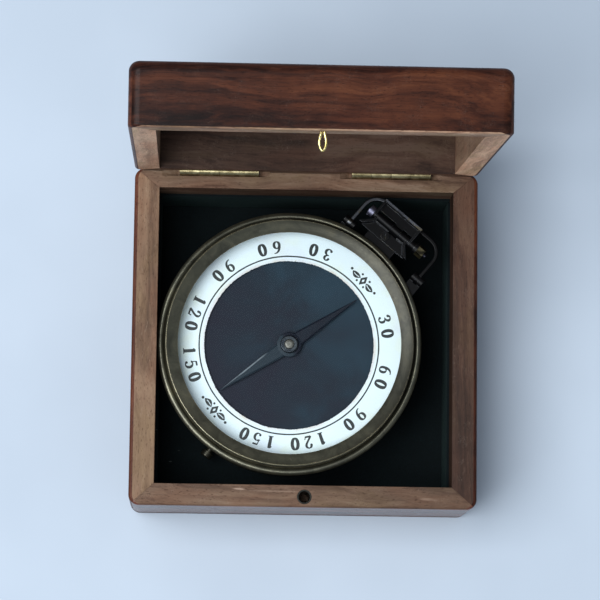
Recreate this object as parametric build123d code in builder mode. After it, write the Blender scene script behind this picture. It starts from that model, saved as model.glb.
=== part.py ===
from build123d import *
import os
from collections import namedtuple
from math import cos, radians, sin

# Boxed sighting compass: a hinged hardwood box lined with felt, and a brass
# drum compass that lies loose in it.
# Frame: millimetres, origin at the centre of the box's underside, +X to the
# box's right, +Y to its hinge side, +Z up. The lid is modelled as it stands
# open, LID_OPEN degrees from shut.

os.makedirs("parts", exist_ok=True)

RUN = 0.05             # running clearance between moving or fitted pieces

# ---------------------------------------------------------------- box sizes
BOX_W = 100.0          # outside, left to right
BOX_D = 98.0           # outside, front to back
BASE_H = 33.0          # outside height of the base
BASE_PANEL_T = 5.0     # bottom board, laid under the rails
LID_H = 17.5           # outside height of the lid
LID_PANEL_T = 4.3      # top board, laid over the lid rails
LID_RAIL_H = LID_H - LID_PANEL_T
LID_PANEL_Z = BASE_H + LID_RAIL_H   # underside of the top board, lid shut
WALL_SIDE = 7.2
WALL_FRONT = 6.3
WALL_REAR = 5.6
CORNER_R = 3.0         # plan radius of the box's corners
RIM_R = 0.9            # eased outer edge of both rims
TOP_R = 2.7            # rounded top edge of the lid
FOOT_R = 1.2           # rounded bottom edge of the base
BACK_CHAMFER = 0.8     # both back edges, so that the lid can swing past upright

OUT_X, OUT_Y = BOX_W / 2, BOX_D / 2
IN_X = OUT_X - WALL_SIDE
IN_Y0 = -OUT_Y + WALL_FRONT
IN_Y1 = OUT_Y - WALL_REAR
IN_Y_MID = (IN_Y0 + IN_Y1) / 2

# mitred plan of each rail: two outer corners, then two inner ones
RAIL_PLANS = {
    "front": [(-OUT_X, -OUT_Y), (OUT_X, -OUT_Y), (IN_X, IN_Y0), (-IN_X, IN_Y0)],
    "left": [(-OUT_X, OUT_Y), (-OUT_X, -OUT_Y), (-IN_X, IN_Y0), (-IN_X, IN_Y1)],
    "right": [(OUT_X, -OUT_Y), (OUT_X, OUT_Y), (IN_X, IN_Y1), (IN_X, IN_Y0)],
    "rear": [(OUT_X, OUT_Y), (-OUT_X, OUT_Y), (-IN_X, IN_Y1), (IN_X, IN_Y1)],
}

FELT_T = 0.9
FELT_GAP = 0.1         # total play along a piece of felt
FELT_TOP = 23.0        # the walls are bare wood above this height

# ---------------------------------------------------------------- hinge sizes
LID_OPEN = 85.6
HINGE_Y = 48.4
HINGE_Z = BASE_H
KNUCKLE_R = 1.4
KNUCKLE_CLEAR = 0.15   # radial clearance of a leaf round the other's knuckles
HINGE_PIN_R = 0.6
KNUCKLES = 4           # per hinge, shared by its two leaves
KNUCKLE_L = 5.75
KNUCKLE_GAP = 0.12
HINGE_L = KNUCKLES * KNUCKLE_L
HINGE_X = {"left": -25.5, "right": 24.6}
LEAF_T = 0.6
LEAF_Y = 44.4          # how far forward each leaf reaches into its saw kerf

# notches for the hinge barrels: x at the rim, bottom, bottom, rim
NOTCH_X = ((-42.2, -37.6, -13.3, -10.5), (9.6, 12.4, 36.7, 39.7))
NOTCH_D = 1.6
NOTCH_OVER = 0.01      # how far the notch outline stands proud of the rim
NOTCH_Y = HINGE_Y - KNUCKLE_R - 0.1
NOTCH_RUN = 8.0        # cut backward from NOTCH_Y, out through the rail's back

# ---------------------------------------------------------------- latch sizes
LATCH_X = 0.4
LATCH_Y = -46.0
SOCKET_R = 2.1
SOCKET_BORE_R = 1.45
SOCKET_DEPTH = 10.0
SOCKET_CHAMFER = 0.25
SHANK_HOLE_R = 0.85    # hole in the lid rail for the loop's legs
SHANK_HOLE_DEPTH = 4.5
LOOP_WIRE_R = 0.35
LOOP_HALF = 0.82       # half width of the teardrop
LOOP_TIP = -4.85
LEG = 0.42             # half the spacing of the loop's two legs
LEG_TOP = 4.0


# ---------------------------------------------------------------- helpers
def save(builder, name):
    builder.part.label = name
    export_step(builder.part, f"parts/{name}.step")


def slab_piece(name, plane, centre, size, height):
    with BuildPart() as slab:
        with BuildSketch(plane):
            with Locations(centre):
                Rectangle(*size)
        extrude(amount=height)
    save(slab, name)


def round_piece(name, plane, radius, height, bore_r=None, centre=(0, 0)):
    with BuildPart() as body:
        with BuildSketch(plane):
            with Locations(centre):
                Circle(radius)
                if bore_r:
                    Circle(bore_r, mode=Mode.SUBTRACT)
        extrude(amount=height)
    save(body, name)


def turned_dir(direction):
    """A direction of the shut lid, as it is with the lid open."""
    c, s = cos(radians(LID_OPEN)), sin(radians(LID_OPEN))
    x, y, z = direction
    return (x, y * c + z * s, -y * s + z * c)


def turned(point):
    """A point of the shut lid, carried to where it is with the lid open."""
    x, y, z = point
    x, dy, dz = turned_dir((x, y - HINGE_Y, z - HINGE_Z))
    return (x, HINGE_Y + dy, HINGE_Z + dz)


def base_plane(origin=(0, 0, 0), x_dir=(1, 0, 0), z_dir=(0, 0, 1)):
    return Plane(origin=origin, x_dir=x_dir, z_dir=z_dir)


def lid_plane(origin=(0, 0, 0), x_dir=(1, 0, 0), z_dir=(0, 0, 1)):
    """A plane given in the shut lid's coordinates, placed on the open lid."""
    return Plane(origin=turned(origin), x_dir=turned_dir(x_dir), z_dir=turned_dir(z_dir))


# The two halves of the box, both described as if shut:
#   plane       places a plane given in shut coordinates
#   up          axis that sorts faces from low to high
#   into        +1 or -1, the way from the rim into the wood along up
#   rim, outer  indices of the rim-side and outer faces, sorted along up
#   latch_hole  radius and depth of the hole in the front rail's rim
#   knuckles    which knuckles of a hinge belong to this half's leaf
#   pin_hole_r  bore of those knuckles; the pin is tight in the base leaf
Half = namedtuple("Half", "name plane up into rim outer rail_z rail_h "
                          "panel_z panel_t panel_r latch_hole knuckles pin_hole_r")
BASE = Half(
    name="base", plane=base_plane, up=Axis.Z, into=-1, rim=-1, outer=0,
    rail_z=BASE_PANEL_T, rail_h=BASE_H - BASE_PANEL_T,
    panel_z=0, panel_t=BASE_PANEL_T, panel_r=FOOT_R,
    latch_hole=(SOCKET_R, SOCKET_DEPTH), knuckles=(1, 3), pin_hole_r=HINGE_PIN_R)
LID = Half(
    name="lid", plane=lid_plane, up=Axis((0, 0, 0), turned_dir((0, 0, 1))),
    into=1, rim=0, outer=-1,
    rail_z=BASE_H, rail_h=LID_RAIL_H,
    panel_z=LID_PANEL_Z, panel_t=LID_PANEL_T, panel_r=TOP_R,
    latch_hole=(SHANK_HOLE_R, SHANK_HOLE_DEPTH), knuckles=(0, 2),
    pin_hole_r=HINGE_PIN_R + RUN)


# ================================================================ boards and rails
def panel(half, name):
    with BuildPart() as board:
        with BuildSketch(half.plane().offset(half.panel_z)):
            RectangleRounded(BOX_W, BOX_D, CORNER_R)
        extrude(amount=half.panel_t)
        fillet(board.faces().sort_by(half.up)[half.outer].edges(), half.panel_r)
    save(board, name)


def rail(half, side):
    """One side of a half: the whole block with its rim eased, cut to the rail's plan."""
    foot = half.plane().offset(half.rail_z)
    with BuildPart() as block:
        with BuildSketch(foot):
            RectangleRounded(BOX_W, BOX_D, CORNER_R)
        extrude(amount=half.rail_h)
        rim_edges = block.faces().sort_by(half.up)[half.rim].edges()
        if side == "rear":
            chamfer(rim_edges, BACK_CHAMFER)
        else:
            fillet(rim_edges, RIM_R)
        with BuildSketch(foot):
            Polygon(*RAIL_PLANS[side], align=None)
        extrude(amount=half.rail_h, mode=Mode.INTERSECT)

        if side == "front":
            hole_r, hole_depth = half.latch_hole
            with BuildSketch(half.plane().offset(BASE_H)):
                with Locations((LATCH_X, LATCH_Y)):
                    Circle(hole_r)
            extrude(amount=half.into * hole_depth, mode=Mode.SUBTRACT)

        if side == "rear":
            # saw-cut notches for the hinge barrels, run out at their ends
            rim_z = BASE_H - half.into * NOTCH_OVER
            bottom_z = BASE_H + half.into * NOTCH_D
            for rim_x0, bottom_x0, bottom_x1, rim_x1 in NOTCH_X:
                with BuildSketch(half.plane((0, NOTCH_Y, 0), (1, 0, 0), (0, -1, 0))):
                    Polygon((rim_x0, rim_z), (bottom_x0, bottom_z), (bottom_x1, bottom_z),
                            (rim_x1, rim_z), align=None)
                extrude(amount=-NOTCH_RUN, mode=Mode.SUBTRACT)
            # kerfs that hold the leaves
            for x in HINGE_X.values():
                with BuildSketch(half.plane().offset(HINGE_Z + half.into * KNUCKLE_R)):
                    with Locations((x, (LEAF_Y + HINGE_Y) / 2)):
                        Rectangle(HINGE_L, HINGE_Y - LEAF_Y)
                extrude(amount=-half.into * LEAF_T, mode=Mode.SUBTRACT)
    save(block, f"{half.name}_{side}_rail")


panel(BASE, "base_bottom_panel")
panel(LID, "lid_top_panel")
for box_half in (BASE, LID):
    for rail_side in RAIL_PLANS:
        rail(box_half, rail_side)

# ================================================================ felts
FLOOR_SIZE = (2 * IN_X - FELT_GAP, IN_Y1 - IN_Y0 - FELT_GAP)
slab_piece("floor_felt", Plane.XY.offset(BASE_PANEL_T), (0, IN_Y_MID), FLOOR_SIZE, FELT_T)
slab_piece("lid_felt", lid_plane().offset(LID_PANEL_Z), (0, IN_Y_MID), FLOOR_SIZE, -FELT_T)

# wall felts stand on the floor felt; the side pieces run between the other two
FELT_FLOOR_Z = BASE_PANEL_T + FELT_T
LONG_FELT = (2 * IN_X - FELT_GAP, FELT_T)
SIDE_FELT = (FELT_T, IN_Y1 - IN_Y0 - 2 * FELT_T - FELT_GAP)
for wall, felt_centre, felt_size in (
        ("front", (0, IN_Y0 + FELT_T / 2), LONG_FELT),
        ("rear", (0, IN_Y1 - FELT_T / 2), LONG_FELT),
        ("left", (-IN_X + FELT_T / 2, IN_Y_MID), SIDE_FELT),
        ("right", (IN_X - FELT_T / 2, IN_Y_MID), SIDE_FELT)):
    slab_piece(f"wall_felt_{wall}", Plane.XY.offset(FELT_FLOOR_Z), felt_centre, felt_size,
               FELT_TOP - FELT_FLOOR_Z)


# ================================================================ hinges
def knuckle_span(hinge_x, i):
    """The two ends, along x, of knuckle i, counted from the left."""
    left = hinge_x - HINGE_L / 2 + i * KNUCKLE_L
    return left + KNUCKLE_GAP / 2, left + KNUCKLE_L - KNUCKLE_GAP / 2


def hinge_leaf(half, side):
    hinge_x = HINGE_X[side]
    barrel = half.plane((0, HINGE_Y, HINGE_Z), (0, 1, 0), (1, 0, 0))
    with BuildPart() as leaf:
        with BuildSketch(half.plane().offset(HINGE_Z + half.into * KNUCKLE_R)):
            with Locations((hinge_x, (LEAF_Y + HINGE_Y) / 2)):
                Rectangle(HINGE_L, HINGE_Y - LEAF_Y)
        extrude(amount=-half.into * LEAF_T)
        # room for the other leaf's knuckles
        for i in range(KNUCKLES):
            if i in half.knuckles:
                continue
            x0, x1 = knuckle_span(hinge_x, i)
            with BuildSketch(barrel.offset(x0 - KNUCKLE_GAP)):
                Circle(KNUCKLE_R + KNUCKLE_CLEAR)
            extrude(amount=x1 - x0 + 2 * KNUCKLE_GAP, mode=Mode.SUBTRACT)
        for i in half.knuckles:
            x0, x1 = knuckle_span(hinge_x, i)
            with BuildSketch(barrel.offset(x0)):
                Circle(KNUCKLE_R)
            extrude(amount=x1 - x0)
            with BuildSketch(barrel.offset(x0)):
                Circle(half.pin_hole_r)
            extrude(amount=x1 - x0, mode=Mode.SUBTRACT)
    save(leaf, f"hinge_leaf_{half.name}_{side}")


HINGE_AXIS_PLANE = base_plane((0, HINGE_Y, HINGE_Z), (0, 1, 0), (1, 0, 0))
for hinge_side in HINGE_X:
    hinge_leaf(BASE, hinge_side)
    hinge_leaf(LID, hinge_side)
    round_piece(f"hinge_pin_{hinge_side}",
                HINGE_AXIS_PLANE.offset(HINGE_X[hinge_side] - HINGE_L / 2),
                HINGE_PIN_R, HINGE_L)

# ================================================================ latch
with BuildPart() as latch_socket:
    with BuildSketch(Plane.XY.offset(BASE_H - SOCKET_DEPTH)):
        with Locations((LATCH_X, LATCH_Y)):
            Circle(SOCKET_R)
            Circle(SOCKET_BORE_R, mode=Mode.SUBTRACT)
    extrude(amount=SOCKET_DEPTH)
    # lead-in at the mouth of the bore
    chamfer(latch_socket.edges().group_by(Axis.Z)[-1].sort_by(SortBy.LENGTH)[0], SOCKET_CHAMFER)
save(latch_socket, "latch_socket")

# split spring loop: two legs side by side in the rail, opening to a teardrop
# one side of the loop: (distance from the centre line, height from the lid's rim)
LOOP_SIDE = [(LEG, LEG_TOP), (LEG, 3.0), (LEG, 2.0), (LEG, 1.0), (LEG + 0.02, 0.0),
             (LOOP_HALF, -3.4)]
with BuildPart() as latch_loop:
    with BuildLine(lid_plane((LATCH_X, LATCH_Y, BASE_H), (1, 0, 0), (0, -1, 0))) as loop_path:
        Spline(*[(-x, z) for x, z in LOOP_SIDE], (0.0, LOOP_TIP), *reversed(LOOP_SIDE))
    with BuildSketch(lid_plane((LATCH_X - LEG, LATCH_Y, BASE_H + LEG_TOP))):
        Circle(LOOP_WIRE_R)
    sweep(path=loop_path.wires()[0])
save(latch_loop, "latch_loop")

# ---------------------------------------------------------------- drum frames
XC, YC = -4.3, -1.15   # drum axis as the compass lies in the box
ARREST_DEG = -127.0    # needle arrest, towards the box's front left corner
SIGHT_DEG = 50.0       # sight, towards the box's back right corner
SIGHT_S = -0.7         # the sight's centre line, across from the radial line
NEEDLE_DEG = 214.6     # bearing of one end of the needle in plan, from +X

DRUM = Plane(origin=(XC, YC, 0), x_dir=(1, 0, 0), z_dir=(0, 0, 1))
DRUM_SECTION = Plane(origin=(XC, YC, 0), x_dir=(1, 0, 0), z_dir=(0, -1, 0))
DRUM_AXIS = Axis((XC, YC, 0), (0, 0, 1))


def outward(deg):
    return (cos(radians(deg)), sin(radians(deg)), 0)


def radial(deg):
    """Level frame on the drum axis: x outward at deg, y counter-clockwise."""
    return Plane(origin=(XC, YC, 0), x_dir=outward(deg), z_dir=(0, 0, 1))


def radial_side(deg, s):
    """Upright plane along the outward line at deg, at sideways distance s.

    Its x points inward, so outward distances are negative; its y is up and
    its normal is counter-clockwise.
    """
    c, sn, _ = outward(deg)
    return Plane(origin=(XC - s * sn, YC + s * c, 0), x_dir=(-c, -sn, 0), z_dir=(-sn, c, 0))


def revolved_piece(name, outline):
    """A closed outline of (radius, z) points, turned about the drum axis."""
    with BuildPart() as body:
        with BuildSketch(DRUM_SECTION):
            Polygon(*outline, align=None)
        revolve(axis=DRUM_AXIS)
    save(body, name)


# ================================================================ compass drum
DRUM_Z0 = FELT_FLOOR_Z              # underside of the drum, on the floor felt
BODY_R = 36.9
BODY_WALL_R = 34.2                  # inside of the wall
BODY_EDGE_R = 1.2                   # rounded bottom edge
FLOOR_Z = DRUM_Z0 + 1.6             # top of the drum's floor
DIAL_SEAT_Z = 23.2
DIAL_SEAT_R = 35.4
BEZEL_SEAT_Z = 26.4
BEZEL_SEAT_R = 36.35
FLANGE_R = 38.4
FLANGE_Z0, FLANGE_Z1 = 27.6, 29.3
FLANGE_CHAMFER = 0.3
BEAD_OUT = (FLANGE_R, FLANGE_Z1 - 0.65)             # ends of the crowned bead
BEAD_IN = (BEZEL_SEAT_R + 0.15, FLANGE_Z1 - 0.45)
BEAD_ARC_R = 1.1

PLUNGER_Z = 11.5
PLUNGER_R = 1.0
PLUNGER_HOLE_A = (30, 40)           # the wall is bored between these distances
PLUNGER = Plane(origin=(XC, YC, PLUNGER_Z), x_dir=(0, 0, 1), z_dir=outward(ARREST_DEG))

with BuildPart() as compass_case:
    with BuildSketch(DRUM_SECTION):
        with BuildLine():
            Polyline((0, DRUM_Z0), (BODY_R - BODY_EDGE_R, DRUM_Z0))
            TangentArc((BODY_R - BODY_EDGE_R, DRUM_Z0), (BODY_R, DRUM_Z0 + BODY_EDGE_R),
                       tangent=(1, 0))
            Polyline((BODY_R, DRUM_Z0 + BODY_EDGE_R), (BODY_R, FLANGE_Z0),
                     (FLANGE_R - FLANGE_CHAMFER, FLANGE_Z0),
                     (FLANGE_R, FLANGE_Z0 + FLANGE_CHAMFER), BEAD_OUT)
            RadiusArc(BEAD_OUT, BEAD_IN, -BEAD_ARC_R)
            Polyline(BEAD_IN, (BEZEL_SEAT_R, FLANGE_Z1 - 0.6),
                     (BEZEL_SEAT_R, BEZEL_SEAT_Z), (DIAL_SEAT_R, BEZEL_SEAT_Z),
                     (DIAL_SEAT_R, DIAL_SEAT_Z), (BODY_WALL_R, DIAL_SEAT_Z),
                     (BODY_WALL_R, FLOOR_Z), (0, FLOOR_Z), (0, DRUM_Z0))
        make_face()
    revolve(axis=DRUM_AXIS)
    # hole for the arrest plunger
    with BuildSketch(PLUNGER.offset(PLUNGER_HOLE_A[0])):
        Circle(PLUNGER_R + RUN)
    extrude(amount=PLUNGER_HOLE_A[1] - PLUNGER_HOLE_A[0], mode=Mode.SUBTRACT)
save(compass_case, "compass_case")

GLASS_R = 34.2
GLASS_Z0, GLASS_Z1 = 28.9, 30.1
GLASS_RING_T = 0.7
GLASS_RING_W = 1.2
BEZEL_TOP_Z = 32.0
BEZEL_IN_R = 32.4
BEZEL_BORE_R = GLASS_R + RUN        # below the lip that holds the glass
BEZEL_SIDE_R = BEZEL_SEAT_R - 0.2   # outside, above the case's bead
BEZEL_SHOULDER = (BEZEL_SIDE_R, BEZEL_TOP_Z - 0.45)
BEZEL_CREST = (BEZEL_SEAT_R - 0.6, BEZEL_TOP_Z)
BEZEL_LIP = (BEZEL_IN_R, BEZEL_TOP_Z - 1.5)

with BuildPart() as bezel:
    with BuildSketch(DRUM_SECTION):
        with BuildLine():
            Polyline((BEZEL_BORE_R, BEZEL_SEAT_Z), (BEZEL_SEAT_R, BEZEL_SEAT_Z),
                     (BEZEL_SEAT_R, FLANGE_Z1 - 0.9), (BEZEL_SIDE_R, FLANGE_Z1 - 0.7),
                     BEZEL_SHOULDER)
            RadiusArc(BEZEL_SHOULDER, BEZEL_CREST, -0.5)
            Spline(BEZEL_CREST, (BEZEL_SEAT_R - 1.7, BEZEL_TOP_Z - 0.55),
                   (BEZEL_IN_R + 0.5, BEZEL_TOP_Z - 1.25), BEZEL_LIP)
            Polyline(BEZEL_LIP, (BEZEL_IN_R, GLASS_Z1), (BEZEL_BORE_R, GLASS_Z1),
                     (BEZEL_BORE_R, BEZEL_SEAT_Z))
        make_face()
    revolve(axis=DRUM_AXIS)
save(bezel, "bezel")

round_piece("glass", DRUM.offset(GLASS_Z0), GLASS_R, GLASS_Z1 - GLASS_Z0)
round_piece("glass_ring", DRUM.offset(GLASS_Z0 - GLASS_RING_T), GLASS_R, GLASS_RING_T,
            bore_r=GLASS_R - GLASS_RING_W)

DIAL_PLATE_T = 1.0
DIAL_DISC_R = 24.6
DIAL_TOP = DRUM.offset(DIAL_SEAT_Z + DIAL_PLATE_T)
round_piece("dial_plate", DRUM.offset(DIAL_SEAT_Z), DIAL_SEAT_R - 0.1, DIAL_PLATE_T, bore_r=2.5)
round_piece("dial_disc", DIAL_TOP, DIAL_DISC_R, 0.25, bore_r=2.6)
round_piece("dial_ring", DIAL_TOP, DIAL_SEAT_R - 0.2, 0.7, bore_r=DIAL_DISC_R)

POST_R = 1.5
POST_FOOT_R = 4.2
POST_TIP_Z = 27.0
revolved_piece("pivot_post", [
    (0, FLOOR_Z), (POST_FOOT_R, FLOOR_Z), (POST_FOOT_R, FLOOR_Z + 1.2), (POST_R, FLOOR_Z + 1.6),
    (POST_R, 23.9), (0.1, POST_TIP_Z), (0, POST_TIP_Z)])

# ================================================================ needle arrest
ARREST = radial(ARREST_DEG)

SLEEVE_IN_R = POST_R + RUN
SLEEVE_R = 2.1
SLEEVE_Z0, SLEEVE_Z1 = 17.2, 25.3
COLLAR_R = 3.4
COLLAR_Z0, COLLAR_Z1 = 19.9, 20.7
revolved_piece("lift_sleeve", [
    (SLEEVE_IN_R, SLEEVE_Z0), (SLEEVE_R, SLEEVE_Z0), (SLEEVE_R, COLLAR_Z0), (COLLAR_R, COLLAR_Z0),
    (COLLAR_R, COLLAR_Z1), (SLEEVE_R, COLLAR_Z1), (SLEEVE_R, SLEEVE_Z1),
    (SLEEVE_IN_R, SLEEVE_Z1)])

LEVER_PIVOT_A = 10.0                # distance of the lever's pivot from the drum axis
LEVER_PIVOT_Z = 19.0
LEVER_PIVOT = (-LEVER_PIVOT_A, LEVER_PIVOT_Z)   # on a radial_side plane
LEVER_PIN_R = 0.6
LEVER_PIN_L = 4.6
LEVER_CUT = 8                       # length of the pin bores, centred on the lever
BRACKET_L = 6.0
BRACKET_W = 4.3
BRACKET_FOOT_T = 1.0
CHEEK_L = 2.8
CHEEK_T = 1.0
CHEEK_ABOVE_PIVOT = 1.4

with BuildPart() as lever_bracket:
    with BuildSketch(ARREST.offset(FLOOR_Z)):
        with Locations((LEVER_PIVOT_A, 0)):
            Rectangle(BRACKET_L, BRACKET_W)
    extrude(amount=BRACKET_FOOT_T)
    for side in (1, -1):
        with BuildSketch(ARREST.offset(FLOOR_Z + BRACKET_FOOT_T)):
            with Locations((LEVER_PIVOT_A, side * (BRACKET_W - CHEEK_T) / 2)):
                Rectangle(CHEEK_L, CHEEK_T)
        extrude(amount=LEVER_PIVOT_Z + CHEEK_ABOVE_PIVOT - FLOOR_Z - BRACKET_FOOT_T)
    with BuildSketch(radial_side(ARREST_DEG, -LEVER_CUT / 2)):
        with Locations(LEVER_PIVOT):
            Circle(LEVER_PIN_R)
    extrude(amount=LEVER_CUT, mode=Mode.SUBTRACT)
save(lever_bracket, "lever_bracket")

round_piece("lever_pin", radial_side(ARREST_DEG, -LEVER_PIN_L / 2), LEVER_PIN_R, LEVER_PIN_L,
            centre=LEVER_PIVOT)

LEVER_T = 2.0
LEVER_BOSS_R = 1.2
ARM_HALF = 1.0                      # half width of the upright arm
ARM_FOOT_Z = 10.0
FORK_Z0, FORK_T = 18.6, 1.2
FORK_Z1 = FORK_Z0 + FORK_T
BAR_END_A = 5.4                     # inner end of the bar from boss to fork
# fork outline: (distance outward, sideways distance)
FORK_PLAN = [(5.6, -4.0), (5.6, 4.0), (0.0, 4.0), (0.0, 2.3),
             (3.8, 2.3), (3.8, -2.3), (0.0, -2.3), (0.0, -4.0)]

with BuildPart() as lifter_lever:
    # upright arm with its pivot boss, and the bar inward to the fork
    with BuildSketch(radial_side(ARREST_DEG, -LEVER_T / 2)):
        with Locations(LEVER_PIVOT):
            Circle(LEVER_BOSS_R)
        Polygon((-LEVER_PIVOT_A - ARM_HALF, LEVER_PIVOT_Z), (-LEVER_PIVOT_A - ARM_HALF, ARM_FOOT_Z),
                (-LEVER_PIVOT_A + ARM_HALF, ARM_FOOT_Z), (-LEVER_PIVOT_A + ARM_HALF, LEVER_PIVOT_Z),
                align=None)
        Polygon((-LEVER_PIVOT_A, FORK_Z0), (-LEVER_PIVOT_A, FORK_Z1), (-BAR_END_A, FORK_Z1),
                (-BAR_END_A, FORK_Z0), align=None)
    extrude(amount=LEVER_T)
    # fork that straddles the post under the sleeve's collar
    with BuildSketch(ARREST.offset(FORK_Z0)):
        Polygon(*FORK_PLAN, align=None)
    extrude(amount=FORK_T)
    with BuildSketch(radial_side(ARREST_DEG, -LEVER_CUT / 2)):
        with Locations(LEVER_PIVOT):
            Circle(LEVER_PIN_R + RUN)
    extrude(amount=LEVER_CUT, mode=Mode.SUBTRACT)
save(lifter_lever, "lifter_lever")

PLUNGER_A0 = LEVER_PIVOT_A + 1.16   # inner end, just clear of the arm
BUTTON_A0 = 38.1                    # inner face of the button
BUTTON_R = 1.7
BUTTON_T = 1.7

with BuildPart() as arrest_plunger:
    with BuildSketch(PLUNGER.offset(PLUNGER_A0)):
        Circle(PLUNGER_R)
    extrude(amount=BUTTON_A0 - PLUNGER_A0)
    with BuildSketch(PLUNGER.offset(BUTTON_A0)):
        Circle(BUTTON_R)
    extrude(amount=BUTTON_T)
    arrest_axis = Axis((0, 0, 0), outward(ARREST_DEG))
    fillet(arrest_plunger.edges().group_by(arrest_axis)[-1], 0.4)
save(arrest_plunger, "arrest_plunger")

# ================================================================ needle
NEEDLE_L = 24.0        # half length
NEEDLE_W = 2.4         # half width
NEEDLE_Z0 = 25.7
NEEDLE_T = 0.7
NEEDLE_EDGE_T = 0.25
TIP_W = 0.12           # half width of the tip
TIP_T = 0.3
TIP_EDGE_T = 0.2
EYE_R = 1.45           # hole that takes the cap's bush
EYE_CUT = 2
HUB_R, HUB_SKIRT_R = 2.6, 3.6
HUB_SKIRT_T = 0.55
NEEDLE_SIDE = Plane(origin=(XC, YC, NEEDLE_Z0),
                    x_dir=(-sin(radians(NEEDLE_DEG)), cos(radians(NEEDLE_DEG)), 0),
                    z_dir=outward(NEEDLE_DEG))

with BuildPart() as needle:
    # each half tapers from a ridged section at the middle to its tip
    for side in (1, -1):
        with BuildSketch(NEEDLE_SIDE):
            Polygon((-NEEDLE_W, 0), (NEEDLE_W, 0), (NEEDLE_W, NEEDLE_EDGE_T), (0, NEEDLE_T),
                    (-NEEDLE_W, NEEDLE_EDGE_T), align=None)
        with BuildSketch(NEEDLE_SIDE.offset(side * NEEDLE_L)):
            Polygon((-TIP_W, 0), (TIP_W, 0), (TIP_W, TIP_EDGE_T), (0, TIP_T),
                    (-TIP_W, TIP_EDGE_T), align=None)
        loft()
    with BuildSketch(DRUM.offset(NEEDLE_Z0)):
        Circle(HUB_SKIRT_R)
    extrude(amount=HUB_SKIRT_T)
    with BuildSketch(DRUM.offset(NEEDLE_Z0)):
        Circle(HUB_R)
    extrude(amount=NEEDLE_T)
    with BuildSketch(DRUM.offset(NEEDLE_Z0)):
        Circle(EYE_R)
    extrude(amount=EYE_CUT, mode=Mode.SUBTRACT)
save(needle, "needle")

with BuildPart() as needle_cap:
    with BuildSketch(DRUM.offset(NEEDLE_Z0 + NEEDLE_T)):
        Circle(HUB_R)
        Circle(EYE_R, mode=Mode.SUBTRACT)
    extrude(amount=0.8)
    # round the outer top edge
    fillet(needle_cap.edges().group_by(Axis.Z)[-1].sort_by(SortBy.LENGTH)[-1], 0.35)
save(needle_cap, "needle_cap")

# domed bush, hollowed below to ride on the post's tip
revolved_piece("cap_bush", [
    (0, 27.15), (0.15, 27.15), (1.1, 26.2), (EYE_R, 26.2), (EYE_R, 27.35), (1.2, 27.58),
    (0.7, 27.7), (0, 27.7)])

# ================================================================ sight
# Distances named _A run outward from the drum axis. Distances named _S run
# sideways, counter-clockwise, from the sight's centre line.
SIGHT = radial(SIGHT_DEG)


def sight_side(s):
    """Upright plane at sideways distance s from the sight's centre line."""
    return radial_side(SIGHT_DEG, SIGHT_S + s)


PIN_A, PIN_Z = 45.2, 29.9
SIGHT_PIN = (-PIN_A, PIN_Z)         # on a sight_side plane
PIN_R = 0.8
PIN_CUT = 16                        # length of the pin bores, centred on the sight
VANE_KNUCKLE_R = 1.3
VANE_KNUCKLE_S = (-2.65, 0.15)      # the vane's middle knuckle
VANE_KNUCKLE_L = VANE_KNUCKLE_S[1] - VANE_KNUCKLE_S[0]
VANE_KNUCKLE_GAP = 0.15             # at each end of it

LUG_A0, LUG_A1 = 34.0, 44.0
LUG_HALF = 5.0
LUG_Z0, LUG_Z1 = 23.0, 27.4
SCREW_AT = (42.3, -0.4)             # in SIGHT, from the radial line
SCREW_R = 0.7
SCREW_HOLE_DEPTH = 3.4

with BuildPart() as case_lug:
    with BuildSketch(SIGHT.offset(LUG_Z0)):
        Polygon((LUG_A0, SIGHT_S - LUG_HALF), (LUG_A1, SIGHT_S - LUG_HALF),
                (LUG_A1, SIGHT_S + LUG_HALF), (LUG_A0, SIGHT_S + LUG_HALF), align=None)
        Circle(BODY_R, mode=Mode.SUBTRACT)
    extrude(amount=LUG_Z1 - LUG_Z0)
    # tapped hole for the bracket screw
    with BuildSketch(SIGHT.offset(LUG_Z1)):
        with Locations(SCREW_AT):
            Circle(SCREW_R)
    extrude(amount=-SCREW_HOLE_DEPTH, mode=Mode.SUBTRACT)
save(case_lug, "case_lug")

PLATE_T = 1.0
ARM_T = 0.8
ARM_S = 6.0                         # outer face of each side wall
ARM_BEND_A = 43.7                   # where the walls start to flare
ARM_TOP_Z = 31.1
# plan of one side wall: (outward distance, sideways distance)
ARM_OUT = [(PIN_A, ARM_S), (ARM_BEND_A, ARM_S), (41.0, 8.5), (40.6, 8.9)]
ARM_IN = [(40.6, 7.9), (40.9, 7.5), (43.4, ARM_S - ARM_T), (PIN_A, ARM_S - ARM_T)]
BRACKET_KNUCKLE_S = 5.25            # outer ends of the bracket's knuckles
BRACKET_KNUCKLES = ((VANE_KNUCKLE_S[1] + VANE_KNUCKLE_GAP, BRACKET_KNUCKLE_S),
                    (-BRACKET_KNUCKLE_S, VANE_KNUCKLE_S[0] - VANE_KNUCKLE_GAP))

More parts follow.
